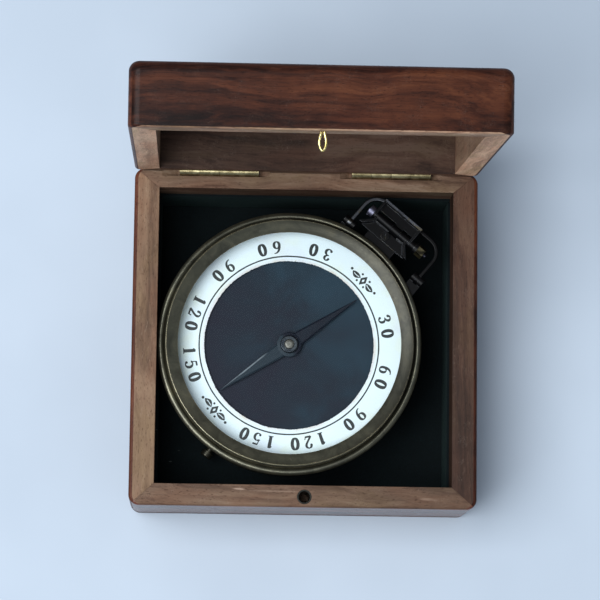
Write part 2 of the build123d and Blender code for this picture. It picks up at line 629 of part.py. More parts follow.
with BuildPart() as hinge_bracket:
    # plate
    with BuildSketch(SIGHT.offset(LUG_Z1)):
        Polygon(*[(a, SIGHT_S + s) for a, s in ARM_OUT[1:]],
                *[(a, SIGHT_S - s) for a, s in reversed(ARM_OUT[1:])], align=None)
        Circle(FLANGE_R + 0.3, mode=Mode.SUBTRACT)
    extrude(amount=PLATE_T)
    # flared side walls
    for side in (1, -1):
        with BuildSketch(SIGHT.offset(LUG_Z1)):
            Polygon(*[(a, SIGHT_S + side * s) for a, s in ARM_OUT + ARM_IN], align=None)
        extrude(amount=ARM_TOP_Z - LUG_Z1)
        with BuildSketch(sight_side(side * (ARM_S - ARM_T / 2) - ARM_T / 2)):
            with Locations(SIGHT_PIN):
                Circle(VANE_KNUCKLE_R)
        extrude(amount=ARM_T)
    # two knuckles, with a web down to the plate
    for s0, s1 in BRACKET_KNUCKLES:
        with BuildSketch(sight_side(s0)):
            with Locations(SIGHT_PIN):
                Circle(VANE_KNUCKLE_R)
            Polygon((-PIN_A, PIN_Z - VANE_KNUCKLE_R), (-PIN_A, PIN_Z), (-ARM_BEND_A, PIN_Z - 0.6),
                    (-ARM_BEND_A, LUG_Z1), (-44.4, LUG_Z1), align=None)
        extrude(amount=s1 - s0)
    with BuildSketch(sight_side(-PIN_CUT / 2)):
        with Locations(SIGHT_PIN):
            Circle(PIN_R)
    extrude(amount=PIN_CUT, mode=Mode.SUBTRACT)
    # clearance for the vane's own knuckle
    with BuildSketch(sight_side(VANE_KNUCKLE_S[0] - VANE_KNUCKLE_GAP)):
        with Locations(SIGHT_PIN):
            Circle(VANE_KNUCKLE_R + 0.2)
    extrude(amount=VANE_KNUCKLE_L + 2 * VANE_KNUCKLE_GAP, mode=Mode.SUBTRACT)
    with BuildSketch(SIGHT.offset(LUG_Z1)):
        with Locations(SCREW_AT):
            Circle(SCREW_R + 0.15)
    extrude(amount=PLATE_T, mode=Mode.SUBTRACT)
save(hinge_bracket, "hinge_bracket")

SCREW_HEAD_R, SCREW_HEAD_T = 1.3, 0.7
SCREW_L = 4.2
PLATE_TOP = SIGHT.offset(LUG_Z1 + PLATE_T)

with BuildPart() as bracket_screw:
    with BuildSketch(PLATE_TOP):
        with Locations(SCREW_AT):
            Circle(SCREW_HEAD_R)
    extrude(amount=SCREW_HEAD_T)
    with BuildSketch(PLATE_TOP):
        with Locations(SCREW_AT):
            Circle(SCREW_R)
    extrude(amount=-SCREW_L)
    # driver slot
    with BuildSketch(PLATE_TOP.offset(SCREW_HEAD_T)):
        with Locations(SCREW_AT):
            Rectangle(3.0, 0.4, rotation=35)
    extrude(amount=-0.35, mode=Mode.SUBTRACT)
save(bracket_screw, "bracket_screw")

VANE_Z0, VANE_Z1 = 28.5, 31.35
VANE_HALF = 6.9
VANE_T = 0.75
VANE_A0, VANE_A1 = 47.1, 50.5       # inner edge of the web, outer face of the end wall
NECK_A1 = 47.5
WEB_T = 0.7
VANE_EAR_R = 1.4

with BuildPart() as sight_vane:
    # web, and a neck to the middle knuckle
    with BuildSketch(SIGHT.offset(VANE_Z0)):
        with Locations(((VANE_A0 + VANE_A1) / 2, SIGHT_S)):
            Rectangle(VANE_A1 - VANE_A0, 2 * VANE_HALF)
        neck_s0, neck_s1 = [SIGHT_S + s for s in VANE_KNUCKLE_S]
        Polygon((PIN_A, neck_s0), (NECK_A1, neck_s0), (NECK_A1, neck_s1), (PIN_A, neck_s1),
                align=None)
    extrude(amount=WEB_T)
    # end wall
    with BuildSketch(SIGHT.offset(VANE_Z0)):
        with Locations((VANE_A1 - VANE_T / 2, SIGHT_S)):
            Rectangle(VANE_T, 2 * VANE_HALF)
    extrude(amount=VANE_Z1 - VANE_Z0)
    # side walls, round-ended on the pin
    for wall_s in (VANE_HALF - VANE_T, -VANE_HALF):
        with BuildSketch(sight_side(wall_s)):
            with Locations(SIGHT_PIN):
                Circle(VANE_EAR_R)
            Polygon((-PIN_A, VANE_Z0), (-PIN_A, VANE_Z1 - 0.05), (-VANE_A1, VANE_Z1),
                    (-VANE_A1, VANE_Z0), align=None)
        extrude(amount=VANE_T)
    with BuildSketch(sight_side(VANE_KNUCKLE_S[0])):
        with Locations(SIGHT_PIN):
            Circle(VANE_KNUCKLE_R)
    extrude(amount=VANE_KNUCKLE_L)
    with BuildSketch(sight_side(-PIN_CUT / 2)):
        with Locations(SIGHT_PIN):
            Circle(PIN_R + RUN)
    extrude(amount=PIN_CUT, mode=Mode.SUBTRACT)
save(sight_vane, "sight_vane")

# cross screw, with its collar and nut at the far end
FASTENER_S = VANE_HALF + 0.1        # where the head and the collar start
CROSS_HEAD_R, CROSS_HEAD_T = 1.65, 1.7
CROSS_SCREW_L = 19.6
CROSS_COLLAR_L = 2.5
CROSS_COLLAR_R = 1.2
COLLAR_FLANGE_R, COLLAR_FLANGE_T = 1.7, 1.0
COLLAR_END_S = FASTENER_S + CROSS_COLLAR_L

with BuildPart() as vane_screw:
    with BuildSketch(sight_side(FASTENER_S)):
        with Locations(SIGHT_PIN):
            Circle(CROSS_HEAD_R)
    extrude(amount=CROSS_HEAD_T)
    with BuildSketch(sight_side(FASTENER_S)):
        with Locations(SIGHT_PIN):
            Circle(PIN_R)
    extrude(amount=-CROSS_SCREW_L)
    # driver slot
    with BuildSketch(sight_side(FASTENER_S + CROSS_HEAD_T)):
        with Locations(SIGHT_PIN):
            Rectangle(4.0, 0.5)
    extrude(amount=-0.6, mode=Mode.SUBTRACT)
save(vane_screw, "vane_screw")

with BuildPart() as vane_collar:
    for start_s, ring_r, length in (
            (FASTENER_S, CROSS_COLLAR_R, CROSS_COLLAR_L),
            (COLLAR_END_S - COLLAR_FLANGE_T, COLLAR_FLANGE_R, COLLAR_FLANGE_T)):
        with BuildSketch(sight_side(-start_s)):
            with Locations(SIGHT_PIN):
                Circle(ring_r)
                Circle(PIN_R, mode=Mode.SUBTRACT)
        extrude(amount=-length)
save(vane_collar, "vane_collar")

with BuildPart() as vane_nut:
    with BuildSketch(sight_side(-COLLAR_END_S)):
        with Locations(SIGHT_PIN):
            RegularPolygon(1.75, 6)
            Circle(PIN_R, mode=Mode.SUBTRACT)
    extrude(amount=-2.3)
save(vane_nut, "vane_nut")

# ================================================================ thumb ring
# Sideways distances here are from the radial line at SIGHT_DEG.
RING_Z0, RING_Z1 = 27.0, 28.2
RING_A, RING_Z = 38.9, (RING_Z0 + RING_Z1) / 2      # pivot
RING_PIVOT = (-RING_A, RING_Z)      # on a radial_side plane
RING_S0, RING_S1 = -16.5, 10.7      # outer faces of the ring's two sides
RING_END = 50.9
RING_W = 1.2
RING_CORNER_R = 5.2
RING_EYE_R = 1.2
RING_PIN_R = 0.5
RING_OVERRUN = 12                   # the full loop is drawn this far inside the pivot
RING_SIDES = (RING_S1 - RING_W, RING_S0)            # clockwise face of each side

EAR_T = 1.25                        # each side of the ring's slot
EAR_R = 1.3
FOOT_A0 = 30.0
FOOT_Z0 = 24.6


def ring_slot(side_s):
    """Both faces of the slot for the ring side that starts at side_s."""
    return side_s - RUN, side_s + RING_W + RUN


with BuildPart() as ring_lugs:
    for side_s in RING_SIDES:
        slot_s0, slot_s1 = ring_slot(side_s)
        s0, s1 = slot_s0 - EAR_T, slot_s1 + EAR_T
        # foot against the drum, under the flange
        with BuildSketch(SIGHT.offset(FOOT_Z0)):
            with Locations(((FOOT_A0 + RING_A) / 2, (s0 + s1) / 2)):
                Rectangle(RING_A - FOOT_A0, s1 - s0)
            Circle(BODY_R, mode=Mode.SUBTRACT)
        extrude(amount=FLANGE_Z0 - 0.1 - FOOT_Z0)
        # ears
        with BuildSketch(radial_side(SIGHT_DEG, s0)):
            with Locations(RING_PIVOT):
                Circle(EAR_R)
            Polygon((-RING_A - EAR_R, RING_Z), (-RING_A + 0.9, RING_Z), (-RING_A + 0.9, FOOT_Z0),
                    (-RING_A - EAR_R, FOOT_Z0 + 1.0), align=None)
        extrude(amount=s1 - s0)
        # slot for the ring's end, open outward, above and below
        with BuildSketch(radial_side(SIGHT_DEG, slot_s0)):
            Polygon((-RING_A - 3, RING_Z + 3), (-RING_A + 1.6, RING_Z + 3), (-RING_A + 1.6, 22.0),
                    (-RING_A - 3, 22.0), align=None)
        extrude(amount=slot_s1 - slot_s0, mode=Mode.SUBTRACT)
        with BuildSketch(radial_side(SIGHT_DEG, s0)):
            with Locations(RING_PIVOT):
                Circle(RING_PIN_R)
        extrude(amount=s1 - s0, mode=Mode.SUBTRACT)
save(ring_lugs, "ring_lugs")

with BuildPart() as ring_pins:
    for side_s in RING_SIDES:
        slot_s0, slot_s1 = ring_slot(side_s)
        with BuildSketch(radial_side(SIGHT_DEG, slot_s0 - EAR_T)):
            with Locations(RING_PIVOT):
                Circle(RING_PIN_R)
        extrude(amount=slot_s1 - slot_s0 + 2 * EAR_T)
save(ring_pins, "ring_pins")

LOOP_L = RING_END - RING_A + RING_OVERRUN
LOOP_W = RING_S1 - RING_S0

with BuildPart() as thumb_ring:
    with BuildSketch(SIGHT.offset(RING_Z0)):
        with Locations(((RING_A - RING_OVERRUN + RING_END) / 2, (RING_S0 + RING_S1) / 2)):
            RectangleRounded(LOOP_L, LOOP_W, RING_CORNER_R)
            RectangleRounded(LOOP_L - 2 * RING_W, LOOP_W - 2 * RING_W, RING_CORNER_R - RING_W,
                             mode=Mode.SUBTRACT)
        # everything inside the pivot line goes
        with Locations((RING_A - 15, 0)):
            Rectangle(30, 60, mode=Mode.SUBTRACT)
    extrude(amount=RING_Z1 - RING_Z0)
    fillet(thumb_ring.edges().filter_by(Plane.XY).filter_by(lambda e: e.length > 2), 0.35)
    # eyes on the pins
    for side_s in RING_SIDES:
        with BuildSketch(radial_side(SIGHT_DEG, side_s)):
            with Locations(RING_PIVOT):
                Circle(RING_EYE_R)
        extrude(amount=RING_W)
        with BuildSketch(radial_side(SIGHT_DEG, side_s)):
            with Locations(RING_PIVOT):
                Circle(RING_PIN_R + RUN)
        extrude(amount=RING_W, mode=Mode.SUBTRACT)
save(thumb_ring, "thumb_ring")
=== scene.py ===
"""A drum compass with a sight vane and a thumb ring, in a felt-lined wooden box.

The box is centred on the origin with its base on the floor: X runs left to right, the front
is towards -Y and Z is up. The lid is hinged at the rear and stands open, almost upright.
Object sizes are metres; materials, felt, dial and needle are worked out in millimetres.
"""

import math

import bmesh
import bpy
import numpy as np
from mathutils import Matrix, Vector, noise as mnoise


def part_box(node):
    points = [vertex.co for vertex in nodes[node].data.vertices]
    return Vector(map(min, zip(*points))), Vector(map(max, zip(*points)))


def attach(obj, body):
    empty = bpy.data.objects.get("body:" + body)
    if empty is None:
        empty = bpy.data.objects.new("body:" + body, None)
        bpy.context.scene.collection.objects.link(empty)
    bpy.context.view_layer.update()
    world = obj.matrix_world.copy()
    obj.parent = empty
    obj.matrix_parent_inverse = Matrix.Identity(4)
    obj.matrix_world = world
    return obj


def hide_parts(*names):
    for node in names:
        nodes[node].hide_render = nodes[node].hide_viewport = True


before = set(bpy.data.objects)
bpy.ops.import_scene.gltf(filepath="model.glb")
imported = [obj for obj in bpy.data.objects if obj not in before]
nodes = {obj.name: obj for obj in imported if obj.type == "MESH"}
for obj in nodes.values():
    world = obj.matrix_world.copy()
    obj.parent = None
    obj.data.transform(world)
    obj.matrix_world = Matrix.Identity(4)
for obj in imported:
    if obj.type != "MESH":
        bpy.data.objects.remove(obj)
scene = bpy.context.scene
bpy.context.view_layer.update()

# ------------------------------------------------------------------ driving dimensions
MM = 0.001
LID_OPEN = math.radians(85.6)  # turn of the lid from shut
pin_lo, pin_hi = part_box("hinge_pin_left")
HINGE = Vector((0.0, (pin_lo.y + pin_hi.y) / 2, (pin_lo.z + pin_hi.z) / 2))
bezel_lo, bezel_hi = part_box("bezel")
AXIS = Vector(((bezel_lo.x + bezel_hi.x) / 2, (bezel_lo.y + bezel_hi.y) / 2, 0.0))
NEEDLE_BEARING = math.radians(214.6)  # of the pointing half, anticlockwise from +X

# in millimetres
DRUM_X, DRUM_Y = AXIS.x * 1000, AXIS.y * 1000
rail_lo, rail_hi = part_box("base_front_rail")
HALF_WIDTH = (rail_hi.x - rail_lo.x) / 2 * 1000
HALF_DEPTH = -rail_lo.y * 1000
RIM_Z = rail_hi.z * 1000
CORNER = 3.0  # radius of the box's upright edges
BASE_SEAM = 5.0  # height where the bottom board meets the rails
LID_SEAM = RIM_Z + 13.2  # the same for the board of the shut lid


# ------------------------------------------------------------------ shader nodes
class Field:
    """An output of a shader node. Arithmetic on it adds math nodes."""

    def __init__(self, socket):
        self.socket = socket

    __add__ = lambda self, other: calc("ADD", self, other)
    __radd__ = lambda self, other: calc("ADD", other, self)
    __sub__ = lambda self, other: calc("SUBTRACT", self, other)
    __rsub__ = lambda self, other: calc("SUBTRACT", other, self)
    __mul__ = lambda self, other: calc("MULTIPLY", self, other)
    __truediv__ = lambda self, other: calc("DIVIDE", self, other)
    __abs__ = lambda self: calc("ABSOLUTE", self)

    def maximum(self, other):
        return calc("MAXIMUM", self, other)

    def split(self):
        outputs = add("ShaderNodeSeparateXYZ", {0: self}).socket.node.outputs
        return [Field(output) for output in outputs]

    def scaled(self, factor):
        return add("ShaderNodeVectorMath", {0: self, "Scale": factor}, operation="SCALE")

    def stretched(self, factors):
        return add("ShaderNodeVectorMath", {0: self, 1: factors}, operation="MULTIPLY")

    def noise(self, scale, detail=3.0, rough=0.5, warp=0.0):
        return add("ShaderNodeTexNoise", {"Vector": self, "Scale": scale, "Detail": detail,
                                          "Roughness": rough, "Distortion": warp})

    def dots(self, scale, edge, core):
        """1 within core of scattered centres, 0 beyond edge"""
        distance = add("ShaderNodeTexVoronoi", {"Vector": self, "Scale": scale})
        return distance.ease(start=edge, end=core)

    def ease(self, start, end, before=0.0, after=1.0):
        """Goes smoothly from before to after as the field goes from start to end"""
        return add("ShaderNodeMapRange", {0: self, 1: start, 2: end, 3: before, 4: after},
                   interpolation_type="SMOOTHSTEP")

    def ramp(self, stops):
        """stops are (position, sRGB colour)"""
        result = add("ShaderNodeValToRGB", {0: self})
        elements = result.socket.node.color_ramp.elements
        elements.remove(elements[-1])
        for i, (position, colour) in enumerate(stops):
            element = elements[0] if i == 0 else elements.new(position)
            element.position = position
            element.color = (*rgb(*colour), 1)
        return result

    def tinted(self, tint):
        return mix(1.0, self, tint, "MULTIPLY")

    def shaded(self, amount, by):
        """Mixes a colour towards itself times by"""
        return mix(amount, self, self.scaled(by))


def put(socket, value):
    if isinstance(value, Field):
        socket.id_data.links.new(value.socket, socket)
    else:
        if socket.type == "RGBA" and len(value) == 3:
            value = (*value, 1.0)
        socket.default_value = value


def add(kind, inputs, tree=None, out=0, **settings):
    """Adds a node, by default to the tree its inputs come from, and returns one output."""
    if tree is None:
        tree = next(v.socket.id_data for v in inputs.values() if isinstance(v, Field))
    node = tree.nodes.new(kind)
    for key, value in settings.items():
        setattr(node, key, value)
    for key, value in inputs.items():
        put(node.inputs[key], value)
    return Field(node.outputs[out])


def calc(operation, first, second=None, **settings):
    inputs = {0: first} if second is None else {0: first, 1: second}
    return add("ShaderNodeMath", inputs, operation=operation, **settings)


def combine(x, y, z):
    return add("ShaderNodeCombineXYZ", {0: x, 1: y, 2: z})


def mix(amount, first, second, blend="MIX"):
    return add("ShaderNodeMix", {0: amount, 6: first, 7: second}, out=2,
               data_type="RGBA", blend_type=blend)


def mix_value(amount, first, second):
    return add("ShaderNodeMix", {0: amount, 2: first, 3: second}, data_type="FLOAT")


def mix_shader(amount, first, second):
    return add("ShaderNodeMixShader", {0: amount, 1: first, 2: second})


def bump(height, strength, distance, normal=None):
    inputs = {"Height": height, "Strength": strength, "Distance": distance}
    if normal is not None:
        inputs["Normal"] = normal
    return add("ShaderNodeBump", inputs)


def hypotenuse(x, y):
    return calc("SQRT", x * x + y * y)


def along_bearing(x, y, angle):
    return x * math.cos(angle) + y * math.sin(angle)


def across_bearing(x, y, angle):
    return y * math.cos(angle) - x * math.sin(angle)


def rgb(*levels):
    """sRGB 0..255 to linear"""
    return tuple(c / 12.92 if c <= 0.04045 else ((c + 0.055) / 1.055) ** 2.4
                 for c in (level / 255 for level in levels))


class Material:
    def __init__(self, name):
        self.material = bpy.data.materials.new(name)
        self.material.use_nodes = True
        self.tree = self.material.node_tree
        self.tree.nodes.clear()
        self.output = self.tree.nodes.new("ShaderNodeOutputMaterial")
        self.coord = self.tree.nodes.new("ShaderNodeTexCoord")

    def object_point(self):
        return Field(self.coord.outputs["Object"])

    def point(self, space):
        """Millimetres in the box's frame, in the shut lid's frame, or from the drum's axis"""
        point = self.object_point()
        if space == "lid":
            point = add("ShaderNodeVectorRotate",
                        {"Vector": point, "Center": tuple(HINGE), "Angle": LID_OPEN},
                        rotation_type="X_AXIS")
        elif space == "drum":
            point = add("ShaderNodeVectorMath", {0: point, 1: tuple(AXIS)}, operation="SUBTRACT")
        return point.scaled(1000.0)

    def normal(self, space):
        normal = Field(self.coord.outputs["Normal"])
        if space == "lid":
            normal = add("ShaderNodeVectorRotate", {"Vector": normal, "Angle": LID_OPEN},
                         rotation_type="X_AXIS")
        return normal

    def geometry(self, output):
        return add("ShaderNodeNewGeometry", {}, self.tree, out=output)

    def rounded(self, radius):
        """The normal, bent as if edges were rounded to this radius in metres"""
        return add("ShaderNodeBevel", {"Radius": radius}, self.tree, samples=4)

    def edges(self, radius, start, end):
        """1 on sharp edges, 0 on flats, from the bent normal near an edge"""
        agreement = add("ShaderNodeVectorMath",
                        {0: self.rounded(radius), 1: self.geometry("Normal")},
                        out="Value", operation="DOT_PRODUCT")
        return (1.0 - agreement).ease(start=start, end=end)

    def principled(self, **inputs):
        named = {key.replace("_", " "): value for key, value in inputs.items()}
        return add("ShaderNodeBsdfPrincipled", named, self.tree)

    def done(self, shader):
        put(self.output.inputs["Surface"], shader)
        return self.material


# ------------------------------------------------------------------ wood
def wood(name, space, along, seed, raw_tone=1.0, red_tone=1.0, raw_tint=(1.0, 1.0, 1.0),
         mitred=False, streak=1.0, fade=None, inner=1.0, coat=0.07, marks=()):
    """Solid wood: long streaks, growth lines, fibres and pores along the grain.
    Upright outer faces are stained and polished; rims and insides are bare, oiled wood.
    fade is (start, end, factor) along the grain; inner darkens the upright bare faces as painted
    shade;
    marks are (x, y, half length, half width, strength) of pale flecks."""
    mat = Material(name)
    point = mat.point(space)
    x, y, z = point.split()
    normal_z = mat.normal(space).split()[2]
    grain, cross = (x, y) if along == "x" else (y, x)
    length = grain + seed[0]
    width = cross + seed[1]
    height = z + seed[2]

    # slow wander of the grain, and a slight lean across it
    wander = combine(length * 0.018, width * 0.03, height * 0.03).noise(scale=1.0, detail=2)
    waver = combine(length * 0.07, width * 0.12, height * 0.12).noise(scale=1.0, detail=2)
    shift = wander * 15.0 + waver * 2.4 + grain * 0.05
    bent_w = width + shift
    bent_h = height + shift
    # streaks, each drawn out along the grain
    wide = combine(length * 0.010, bent_w * 0.085, bent_h * 0.085).noise(scale=1.0, detail=2)
    band = combine(length * 0.012, bent_w * 0.27, bent_h * 0.27).noise(
        scale=1.0, detail=4, rough=0.6)
    line = combine(length * 0.022, bent_w * 1.0, bent_h * 1.0).noise(scale=1.0, rough=0.6)
    # fibres, pores and short flecks
    fibre = combine(length * 0.14, width, height).noise(scale=2.3, detail=4, rough=0.65)
    pores = combine(length * 0.30, width, height).noise(
        scale=3.1, detail=1, rough=0.4).ease(start=0.63, end=0.72)
    fleck = combine(length * 0.26, width * 1.1, height).noise(
        scale=1.2, rough=0.6, warp=0.6).ease(start=0.58, end=0.76)
    dark_fleck = combine(length * 0.20, width, height * 1.2).noise(
        scale=0.9, rough=0.65, warp=0.5).ease(start=0.57, end=0.72)
    ripple = combine(length * 0.30, width * 0.10, height * 0.10).noise(
        scale=0.8, detail=2, warp=0.3)
    # how much each layer adds to the lightness
    tone = ((band - 0.5) * (2.1 * streak) + (line - 0.5) * (0.9 * streak)
            + (wide - 0.5) * (1.9 * streak) + (fibre - 0.5) * 0.5 + (ripple - 0.5) * 0.22 + 0.5)
    hue = combine(length * 0.05, width * 0.16, height * 0.16).noise(
        scale=1.0, detail=2, warp=0.3)

    # stained wood
    red = tone.ramp([(0.0, (40, 24, 21)), (0.24, (64, 36, 29)), (0.46, (94, 52, 38)),
                     (0.68, (118, 66, 46)), (1.0, (146, 86, 58))])
    red = mix(pores * 0.45, red, rgb(34, 21, 20))
    red = mix(fleck * 0.10, red, rgb(176, 132, 112))
    red = mix(hue.ease(start=0.5, end=0.72, after=0.5), red, red.tinted((0.72, 0.66, 0.74)))
    red = red.scaled(red_tone)

    # bare wood, wandering between pinkish and greenish
    raw = tone.ramp([(0.0, (108, 83, 67)), (0.3, (142, 111, 90)), (0.52, (168, 136, 112)),
                     (0.76, (184, 152, 126)), (1.0, (204, 176, 150))])
    raw = mix(hue.ease(start=0.46, end=0.68, after=0.55), raw, raw.tinted((1.0, 0.82, 0.74)))
    raw = mix(hue.ease(start=0.5, end=0.32, after=0.5), raw, raw.tinted((0.90, 0.95, 0.78)))
    raw = mix(pores * 0.5, raw, rgb(92, 66, 52))
    raw = mix(dark_fleck * 0.30, raw, rgb(110, 80, 62))
    raw = mix(fleck * 0.30, raw, rgb(214, 190, 166))
    raw = raw.tinted([raw_tone * t for t in raw_tint])
    if fade is not None:
        # one end of the piece is darker
        start, end, factor = fade
        ragged = grain + (point.noise(scale=0.12, rough=0.6) - 0.5) * 16.0
        raw = raw.shaded(ragged.ease(start=start, end=end), by=factor)
    for mark_x, mark_y, half_length, half_width, strength in marks:
        from_x = (x - mark_x) / half_length
        from_y = (y - mark_y + from_x * 0.12) / half_width
        patch = (hypotenuse(from_x, from_y).ease(start=1.0, end=0.35)
                 * fibre.ease(start=0.30, end=0.55, before=0.45))
        raw = mix(patch * strength, raw, rgb(176, 150, 132))
    if inner != 1.0:
        # painted shade: the upright bare walls inside are darkened, standing in for the shade
        # inside the box
        upright = abs(normal_z).ease(start=0.75, end=0.55)
        raw = mix(upright, raw, raw.tinted([t * inner for t in (1.0, 0.98, 1.0)]))

    # the stain stays on the upright outer faces and on the boards:
    # near is the depth below the box's rounded outline
    depth_x = HALF_WIDTH - abs(x)
    depth_y = HALF_DEPTH - abs(y)
    past_x = CORNER - depth_x
    past_y = CORNER - depth_y
    round_part = hypotenuse(past_x.maximum(0.0), past_y.maximum(0.0))
    near = CORNER - (round_part + calc("MINIMUM", past_x.maximum(past_y), 0.0))
    wobble = (point.noise(scale=0.9, detail=2) - 0.5) * 0.10
    outside = (near + wobble).ease(start=0.17, end=0.07)
    if space == "lid":
        board = z.ease(start=RIM_Z + 13.6, end=RIM_Z + 14.2)
        outside = outside.maximum(board * normal_z.ease(start=-0.6, end=-0.2))
    else:
        outside = outside.maximum(z.ease(start=4.6, end=4.2))
    colour = mix(outside, raw, red)

    # mitre lines, and the faint broken line where a board is laid on the rails
    if mitred:
        mitre = abs(depth_x - depth_y)
        colour = colour.shaded(mitre.ease(start=0.13, end=0.03, after=0.42), by=0.35)
    seam = abs(z - (LID_SEAM if space == "lid" else BASE_SEAM))
    broken = combine(length * 0.12, 0.0, 0.0).noise(scale=1.0, rough=0.6).ease(
        start=0.46, end=0.62, after=0.28)
    colour = colour.shaded(seam.ease(start=0.14, end=0.03) * broken, by=0.45)

    # a little pale rubbing on the corners, and fine scratches
    rub = point.noise(scale=0.18, rough=0.6)
    worn = mat.edges(radius=0.0009, start=0.01, end=0.2) * rub.ease(start=0.42, end=0.6)
    colour = colour.shaded(worn * mix_value(outside, 0.12, 0.35), by=1.5)
    lines = point.stretched((0.9, 0.35, 0.35)).noise(scale=1.1, rough=0.6, warp=3.0)
    scratch = abs(lines - 0.5).ease(start=0.006, end=0.001) * rub.ease(start=0.52, end=0.62)
    colour = mix(scratch * mix_value(outside, 0.28, 0.10), colour, rgb(206, 186, 168))

    rough_red = 0.34 + point.noise(scale=0.35, rough=0.6) * 0.16
    rough_raw = 0.46 + fibre * 0.16
    relief = fibre * 0.30 - pores * 0.9 + point.noise(scale=0.12, detail=1, rough=0.4) * 2.0
    return mat.done(mat.principled(
        Base_Color=colour,
        Roughness=mix_value(outside, rough_raw, rough_red) + pores * 0.12,
        Normal=bump(relief, strength=0.55, distance=0.00005, normal=mat.rounded(0.00022)),
        Specular_IOR_Level=mix_value(outside, 0.20, 0.06),
        Coat_Weight=outside * coat,
        Coat_Roughness=0.16 + rub * 0.16))


# ------------------------------------------------------------------ metals
def aged_brass(name, space, tone, turned=True, bright_edges=0.8, rough=0.36, painted_light_sides=()):
    """Brown-green brass with brighter edges.
    the extra sides, each (degrees, factor), are darkened or lightened as painted shade and
    painted light, for how the lamp falls on the part."""
    mat = Material(name)
    point = mat.point(space)
    x, y, z = point.split()
    blotch = point.noise(scale=0.16, detail=4, rough=0.62, warp=0.8)
    fine = point.noise(scale=1.3, detail=4, rough=0.65)
    spots = point.noise(scale=0.85, detail=2).ease(start=0.64, end=0.74)
    colour = blotch.ramp([(0.22, (56, 55, 46)), (0.42, (80, 79, 67)),
                          (0.58, (96, 94, 79)), (0.8, (113, 108, 87))])
    colour = colour.shaded(fine.ease(start=0.35, end=0.7, after=0.4), by=0.66)
    colour = mix(spots * 0.55, colour, rgb(52, 42, 30))
    edge = (mat.edges(radius=0.0005, start=0.01, end=0.22)
            * fine.ease(start=0.3, end=0.62, before=0.35))
    colour = mix(edge * bright_edges, colour, rgb(188, 172, 132))
    colour = colour.scaled(tone)
    if turned:
        radius = hypotenuse(x, y)
        tooling = combine(radius * 1.0, z * 1.0, 0.0).noise(scale=6.0, rough=0.7)
    else:
        tooling = combine(x * 0.2, y, z).noise(scale=5.0, rough=0.7)
    # painted shade and painted light: each listed side is darkened or lightened by its factor
    for degrees, factor in painted_light_sides:
        side = along_bearing(x, y, math.radians(degrees)) / radius.maximum(1.0)
        side = side + (blotch - 0.5) * 0.3
        colour = colour.shaded(side.ease(start=0.15, end=0.95), by=factor)
    relief = tooling * 0.6 + fine * 0.6
    return mat.done(mat.principled(
        Base_Color=colour,
        Metallic=mix_value(spots * 0.6, 0.78, 0.3),
        Roughness=rough + (fine - 0.5) * 0.20 + spots * 0.2 - edge * 0.08,
        Normal=bump(relief, strength=0.5, distance=0.00002, normal=mat.rounded(0.00012)),
        Specular_IOR_Level=0.8))


def plain_metal(name, space, dark, light, rough, spot):
    """Bare metal between two colours; spot is the strength of its dark specks."""
    mat = Material(name)
    point = mat.point(space)
    broad = point.noise(scale=0.315, rough=0.6, warp=0.5)
    fine = point.noise(scale=2.7, detail=4, rough=0.65)
    colour = mix(broad.ease(start=0.35, end=0.68), rgb(*dark), rgb(*light))
    colour = colour.shaded(fine.ease(start=0.52, end=0.8, after=spot), by=0.4)
    edge = mat.edges(radius=0.0003, start=0.01, end=0.25)
    return mat.done(mat.principled(
        Base_Color=colour.shaded(edge * 0.5, by=1.45),
        Metallic=1.0,
        Roughness=rough + (fine - 0.5) * 0.3,
        Normal=bump(fine + fine, strength=0.35, distance=0.00002,
                    normal=mat.rounded(0.0001))))


def black_metal(name, worn=1.0, rubbed=None):
    """Blackened brass: near black with a soft gloss, rubbed to grey and to brass on its edges.
    rubbed is (node, direction in degrees, width in mm, strength): the upper edge of the
    node's far side in that direction is bare."""
    mat = Material(name)
    point = mat.point("drum")
    fine = point.noise(scale=2.6, detail=4, rough=0.65)
    broad = point.noise(scale=0.3, rough=0.6, warp=0.6)
    edge = (mat.edges(radius=0.00034, start=0.02, end=0.34)
            * broad.ease(start=0.36, end=0.6, before=0.15))
    scuff = point.stretched((0.5, 2.2, 1.0)).noise(scale=1.6, rough=0.7).ease(
        start=0.62, end=0.74) * 0.4
    bare = edge.maximum(scuff * 0.06) * (0.6 * worn)
    if rubbed is not None:
        node, degrees, width, strength = rubbed
        angle = math.radians(degrees)
        vertices = nodes[node].data.vertices
        far = max(along_bearing(v.co.x - AXIS.x, v.co.y - AXIS.y, angle) for v in vertices) * 1000
        crown = max(v.co.z for v in vertices) * 1000
        x, y, z = point.split()
        reach = along_bearing(x, y, angle)
        strip = (reach.ease(start=far - width, end=far - width * 0.6)
                 * z.ease(start=crown - 1.0, end=crown - 0.5)
                 * broad.ease(start=0.30, end=0.52, before=0.45))
        bare = bare.maximum(strip * strength)
    black = mix(fine.ease(start=0.4, end=0.7), rgb(3, 3, 4), rgb(6, 6, 8))
    metal = mix(broad.ease(start=0.5, end=0.68), rgb(122, 126, 134), rgb(120, 114, 96))
    rough = mix_value(bare, 0.30 + fine * 0.22, 0.34)
    normal = bump(fine, strength=0.35, distance=0.00003, normal=mat.rounded(0.00014))
    coated = mat.principled(Base_Color=black, Metallic=0.0, Roughness=rough, Normal=normal,
                            Specular_IOR_Level=0.14)
    bared = mat.principled(Base_Color=metal, Metallic=1.0, Roughness=rough, Normal=normal)
    return mat.done(mix_shader(bare, coated, bared))


